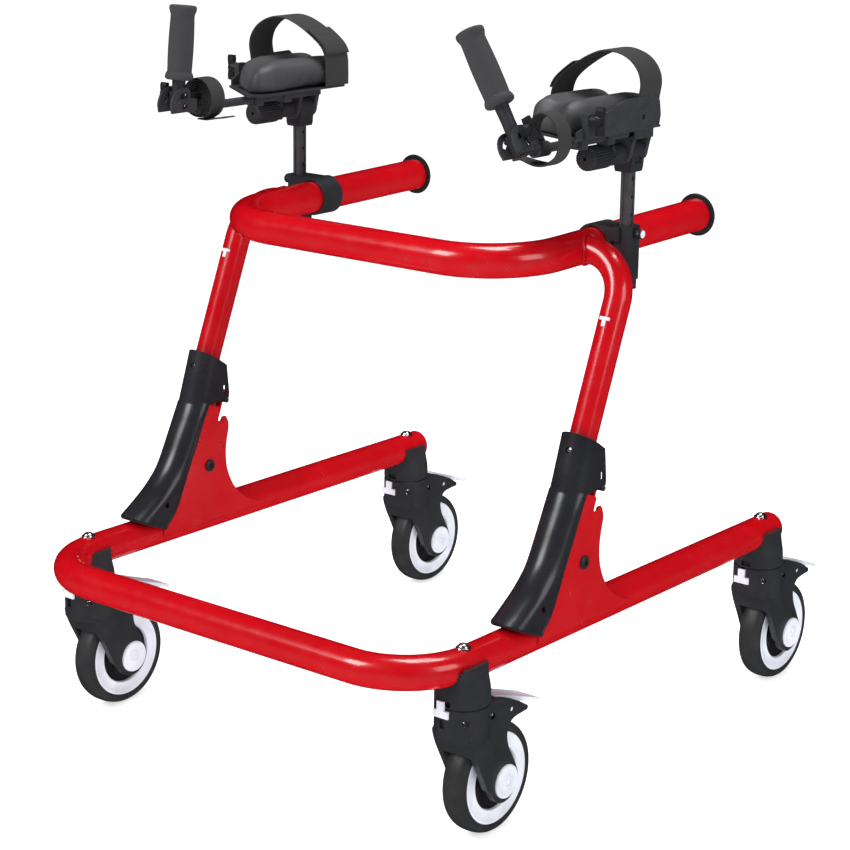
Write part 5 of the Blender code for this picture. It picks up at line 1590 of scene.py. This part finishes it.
    def strap(self) -> None:
        """Forearm strap with its lapped end and stitching."""
        low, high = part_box("forearm_strap_" + self.tag)
        line = self.forearm_line()
        middle = (low[1] + high[1]) / 2 - (0.0060 if self.side is Side.LEFT else 0.0)
        y0, y1 = middle - self.strap_width / 2, middle + self.strap_width / 2
        band = self.slanted(Draft.ribbon(line, "Y", y0, y1, self.strap_thickness, 14))
        piece = Workshop.piece("strap_" + self.tag, band, WEBBING, "arm_" + self.tag, sharp=60,
                               replaces=["forearm_strap_" + self.tag])
        inner = [p for p in line if (p[0] - self.centre_x) * self.side.value < -0.020]
        inner = [p for p in inner if p[1] > 0.768]
        lap_line = []
        for i, spot in enumerate(inner):
            before, after = inner[max(i - 1, 0)], inner[min(i + 1, len(inner) - 1)]
            dx, dz = after[0] - before[0], after[1] - before[1]
            size = math.hypot(dx, dz)
            away = Vector((spot[0] - self.centre_x, spot[1] - 0.770)).normalized()
            normal = Vector((-dz / size, dx / size))
            if normal.dot(away) < 0:
                normal = -normal
            lap_line.append(tuple(Vector(spot) + normal * (self.strap_thickness + 0.0002)))
        lap = Workshop.piece("strap_lap_" + self.tag,
                             self.slanted(Draft.ribbon(lap_line, "Y", y0 + 0.0004, y1 - 0.0004,
                                                       self.strap_thickness, 14)), WEBBING,
                                                       "arm_" + self.tag, sharp=60)
        "arm_plate_" + self.tag
        self.stitches(lap_line, y0, y1)

    def slanted(self, draft: Draft) -> Draft:
        """Slide each point along Y in step with X, so that the strap's +X foot lies further back."""
        slope = self.strap_slant / self.half
        verts = [(x, y + slope * (x - self.centre_x), z) for x, y, z in draft.verts]
        return Draft(verts, draft.faces, draft.uvs)

    def stitches(self, line: Sequence[Spot], y0: float, y1: float) -> bpy.types.Object:
        """Box of stitches near the lapped end.

        Args:
            line: The lap's centre line.
            y0: One edge of the strap.
            y1: The other edge.

        Returns:
            The stitching as one piece.
        """
        made: Optional[Draft] = None
        rows = [line[len(line) // 4], line[len(line) // 2]]
        for spot in rows:
            away = Vector((spot[0] - self.centre_x,
                           spot[1] - 0.770)).normalized() * (self.strap_thickness * 0.5)
            count = 13
            for i in range(count):
                y = y0 + 0.004 + (y1 - y0 - 0.008) * (i + 0.15) / count
                thread = Draft.rod("Y", 0.00028, (spot[0] + away[0], spot[1] + away[1]), y, y + 0.0018, 8,
                                   0.0002)
                made = thread if made is None else made.plus(thread)
        return Workshop.piece("strap_stitches_" + self.tag, self.slanted(made), GRIP_RUBBER,
                              "arm_" + self.tag, sharp=80)

    def wrist(self) -> None:
        """Wrist strap: a loose open band on one side, a tight roll with a tail on the other."""
        low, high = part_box("wrist_strap_" + self.tag)
        y0, y1 = low[1] + 0.0003, high[1] - 0.0003
        rod_x, rod_z = self.rod_axis()
        if self.side is Side.RIGHT:
            rough = [(-0.0020, 0.0080), (-0.0080, 0.0200), (-0.0040, 0.0310), (0.0060, 0.0385),
                     (0.0170, 0.0370)]
            rough += [(0.0260, 0.0290), (0.0305, 0.0180), (0.0310, 0.0060), (0.0265, -0.0050),
                      (0.0170, -0.0125)]
            rough += [(0.0050, -0.0155), (-0.0080, -0.0145), (-0.0220, -0.0120), (-0.0340, -0.0150)]
            line = [(rod_x + a, rod_z + b) for a, b in smooth_line(rough, 8)]
            band = Draft.ribbon(line, "Y", y0, y1, 0.0034, 10,
                                lambda s: 1.0 if s < 0.80 else 1.0 - 0.8 * (s - 0.80) / 0.2)
        else:
            centre = (rod_x + 0.0030, rod_z + 0.0110)
            turns, start, rim = 7.25, 0.0060, 0.0238
            spiral = []
            for i in range(int(turns * 40) + 1):
                share = i / (turns * 40)
                angle = math.radians(-90.0) - math.tau * turns * (1 - share)
                radius = start + (rim - start) * share
                spiral.append((centre[0] + radius * math.cos(-angle - math.pi),
                               centre[1] + radius * math.sin(angle)))
            tail = [(0.0, -0.0238), (0.0120, -0.0238), (0.0240, -0.0215), (0.0330, -0.0200),
                    (0.0400, -0.0188)]
            line = spiral[:-1] + [(centre[0] + a, centre[1] + b) for a, b in smooth_line(tail, 6)]
            band = Draft.ribbon(line, "Y", y0, y1, 0.0019, 8)
        piece = Workshop.piece("wrist_band_" + self.tag, band, WEBBING, "rod_" + self.tag, sharp=60,
                               replaces=["wrist_strap_" + self.tag])
        core = Draft.lathe("Y", [(0.0052, y0), (0.0082, y0), (0.0082, y1), (0.0052, y1)], (rod_x, rod_z),
                           32)
        sleeve = Workshop.piece("wrist_loop_" + self.tag, core, GRIP_RUBBER, "rod_" + self.tag,
                                bevel=0.0005)
        "grip_rod_" + self.tag

    def rod_axis(self) -> Spot:
        """X and Z of the sliding rod."""
        turn = self.grip_axis
        drop = 0.0050
        return (self.grip[0] + turn[2] * drop, self.grip[2] - turn[0] * drop)

    # -------------------------------------------------------------- hand grip
    def hand_grip(self) -> None:
        """Ribbed rubber grip on its stem, with a ringed cap."""
        low_dist = {Side.RIGHT: 0.0545, Side.LEFT: 0.0345}[self.side] - 0.0050
        steps = [(0.0078, low_dist - 0.001), (0.0140, low_dist - 0.0004), (0.0158, low_dist + 0.0008)]
        steps += [(0.0164, low_dist + 0.0030), (0.0158, low_dist + 0.0058), (0.0148, low_dist + 0.0080)]
        count = 26
        for i in range(count + 1):
            share = i / count
            belly = 0.0141 + 0.0007 * math.sin(math.pi * share) - 0.0004 * share
            height = low_dist + 0.0100 + 0.0600 * share
            steps += [(belly - 0.00022, height - 0.0007), (belly, height), (belly, height + 0.0006)]
        top = low_dist + 0.0840
        steps += [(0.0136, top - 0.0115), (0.0144, top - 0.0090), (0.0155, top - 0.0060),
                  (0.0158, top - 0.0030)]
        steps += [(0.0150, top - 0.0010), (0.0128, top - 0.0002), (0.0122, top - 0.0006),
                  (0.0116, top - 0.0002)]
        steps += [(0.0070, top), (0.0, top)]
        rubber = Draft.lathe("Z", [(0.0, low_dist - 0.001)] + steps, (0.0, 0.0), 72)
        stem = Draft.lathe("Z", [(0.0, 0.0110), (0.0076, 0.0110), (0.0078, 0.0125),
                                 (0.0074, low_dist * 0.6),
                                 (0.0078, low_dist), (0.0, low_dist)], (0.0, 0.0), 40)
        half = 0.0088
        foot = [(-0.0062, 0.0160)] + arc((0.0, 0.0), 0.0060, 180, 360, 16) + [(0.0062, 0.0160)]
        fork = Draft.prism("X", foot, -half, half)
        pose = self.grip_pose()
        for name, draft, finish, bevel in (("grip_rubber_", rubber, GRIP_RUBBER, 0.0),
                                           ("grip_stem_", stem, BLACK, 0.0),
                                           ("grip_foot_", fork, BLACK, 0.0006)):
            replaced = ["hand_grip_" + self.tag] if name == "grip_rubber_" else []
            Workshop.piece(name + self.tag, self.posed(draft, pose), finish, "grip_" + self.tag, bevel,
                           sharp=55, replaces=replaced)
        bolt = []
        for way in (1, -1):
            seat = way * 0.0115
            hexed = Draft.lathe("X", [(0.0, seat + way * 0.0022), (0.0026, seat + way * 0.0022),
                                      (0.0034, seat + way * 0.0016), (0.0036, seat), (0.0, seat)],
                                      (0.0, 0.0), 6)
            bolt.append(hexed)
        pin = bolt[0].plus(bolt[1], Draft.rod("X", 0.0026, (0.0, 0.0), -0.0120, 0.0120, 20))
        Workshop.piece("grip_bolt_" + self.tag, self.posed(pin, pose), ZINC, "grip_" + self.tag, 0.0002)
        way = -self.side.value
        seat = way * 0.0116
        nut = Draft.lathe("X", [(0.0, seat + way * 0.0022), (0.0020, seat + way * 0.0024),
                                (0.0036, seat + way * 0.0014), (0.0038, seat), (0.0, seat)], (0.0, 0.0120),
                                6)
        Workshop.piece("slot_nut_" + self.tag, self.posed(nut, pose), ZINC, "grip_knob_" + self.tag, 0.0002)

    def grip_pose(self) -> Matrix:
        """Placement of the grip's own frame, with X on its hinge and Z along its stem."""
        axis = self.grip_axis.normalized()
        lean = math.radians({Side.RIGHT: 0.0, Side.LEFT: -6.0}[self.side])
        up = Vector((-axis[2], 0.0, axis[0]))
        back = up.cross(axis)
        up, back = up * math.cos(lean) - back * math.sin(lean), back * math.cos(lean) + up * math.sin(lean)
        turn = Matrix((axis, back, up)).transposed().to_4x4()
        return Matrix.Translation(self.grip) @ turn

    @staticmethod
    def posed(draft: Draft, pose: Matrix) -> Draft:
        """A draft taken from the grip's own frame into the model's."""
        return Draft([pose @ Vector(v) for v in draft.verts], draft.faces)

    def build(self) -> None:
        """Make and dress every piece of the support."""
        tag = self.tag
        Workshop.piece("clamp_body_" + tag, self.clamp(), BLACK, "clamp_" + tag, 0.0008, 30,
                       replaces=["post_clamp_" + tag])
        Workshop.piece("post_bar_" + tag, self.post(), ANODISED, "post_" + tag, 0.0003, 30,
                       replaces=["post_" + tag])
        Workshop.piece("pull_knob_" + tag, self.pull_pin(), SATIN_BLACK, "pin_" + tag, sharp=50,
                       replaces=["post_pin_" + tag])
        Workshop.piece("pull_button_" + tag, self.pull_button(), WHITE, "pin_" + tag, sharp=50)
        Workshop.piece("head_body_" + tag, self.head(), BLACK, "post_" + tag, 0.0007, 30,
                       replaces=["tilt_head_" + tag])
        Workshop.piece("tilt_grip_" + tag, self.tilt_knob(), BLACK, "tilt_knob_" + tag, sharp=50,
                       replaces=["tilt_knob_" + tag])
        Workshop.keep("arm_plate_" + tag, DARK_SHEET, 0.0006, 30)
        Workshop.keep("grip_rod_" + tag, DARK_SHEET, 0.0004, 30)
        Workshop.keep("grip_knob_" + tag, SATIN_BLACK, 0.0007, 28)
        Workshop.keep("rod_knob_" + tag, SATIN_BLACK, 0.0007, 28)
        self.pad()
        self.strap()
        self.wrist()
        self.hand_grip()


# ------------------------------------------------------------------ studio
@dataclass
class Studio:
    """Floor, lights and camera."""

    azimuth: float = 38.703
    elevation: float = 15.463
    roll: float = 0.738
    lens: float = 98.77
    stand: Point = (1.67029, -1.80147, 1.08862)

    def floor(self) -> None:
        """Pale floor under the object."""
        reach = 12.0
        corners = [(-reach, -reach, 0.0), (reach, -reach, 0.0), (reach, reach, 0.0), (-reach, reach, 0.0)]
        thing = bpy.data.objects.new("studio_floor", Draft(corners, [(0, 1, 2, 3)]).mesh("studio_floor"))
        bpy.context.scene.collection.objects.link(thing)
        thing.data.materials.append(FLOOR.material())
        thing.location = (0.0, 0.0, -0.0002)
        thing.visible_glossy = False
        thing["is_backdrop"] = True

    def light(self, name: str, place: Point, target: Point, size: float, power: float) -> None:
        """One soft area light.

        Args:
            name: The light's name.
            place: Where it hangs.
            target: What it is aimed at.
            size: The side of its square face.
            power: Its power in watts.
        """
        lamp = bpy.data.lights.new(name, "AREA")
        lamp.shape = "SQUARE"
        lamp.size = size
        lamp.energy = power
        thing = bpy.data.objects.new(name, lamp)
        bpy.context.scene.collection.objects.link(thing)
        thing.location = place
        thing.rotation_euler = (Vector(target) - Vector(place)).to_track_quat("-Z", "Y").to_euler()

    def camera(self) -> None:
        """Camera at a fixed viewing angle."""
        data = bpy.data.cameras.new("view")
        data.lens = self.lens
        data.sensor_width = 36.0
        data.clip_end = 60.0
        thing = bpy.data.objects.new("view", data)
        bpy.context.scene.collection.objects.link(thing)
        turn = Matrix.Rotation(math.radians(self.azimuth), 4, "Z")
        turn = turn @ Matrix.Rotation(math.radians(90.0 - self.elevation), 4, "X")
        turn = turn @ Matrix.Rotation(math.radians(self.roll), 4, "Z")
        place = (self.stand[0], self.stand[1] + ORIGIN_Y, self.stand[2])
        thing.matrix_world = Matrix.Translation(place) @ turn
        bpy.context.scene.camera = thing

    def build(self) -> None:
        """Set the studio up."""
        self.floor()
        bpy.context.scene.view_settings.view_transform = "Standard"
        world = bpy.data.worlds.new("studio")
        bpy.context.scene.world = world
        world.use_nodes = True
        world.node_tree.nodes["Background"].inputs[0].default_value = (0.97, 0.98, 1.0, 1.0)
        world.node_tree.nodes["Background"].inputs[1].default_value = 0.50
        world.cycles_visibility.glossy = False
        self.light("key", (-1.2, -2.6, 2.6), (0.0, 0.0, 0.4), 1.3, 62.0)
        self.light("side", (3.0, -0.2, 1.7), (0.0, 0.0, 0.4), 1.4, 20.0)
        self.light("top", (0.2, 0.4, 3.0), (0.0, 0.0, 0.4), 1.2, 52.0)
        self.camera()


def write_sizes() -> None:
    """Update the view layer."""
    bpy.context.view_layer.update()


def main() -> Dict[str, int]:
    """Build everything in order.

    Returns:
        How many pieces are shown, for the log.
    """
    logging.basicConfig(level=logging.INFO, format="%(name)s: %(message)s")
    Studio().build()
    Base().build()
    UpperFrame().build()
    for side in Side:
        LegSleeve(side).build()
        ForearmSupport(side).build()
        for end in End:
            Caster(end, side).build()
    write_sizes()
    count = {"pieces": len(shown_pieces())}
    LOG.info("%d pieces shown", count["pieces"])
    return count


if __name__ == "__main__":
    main()
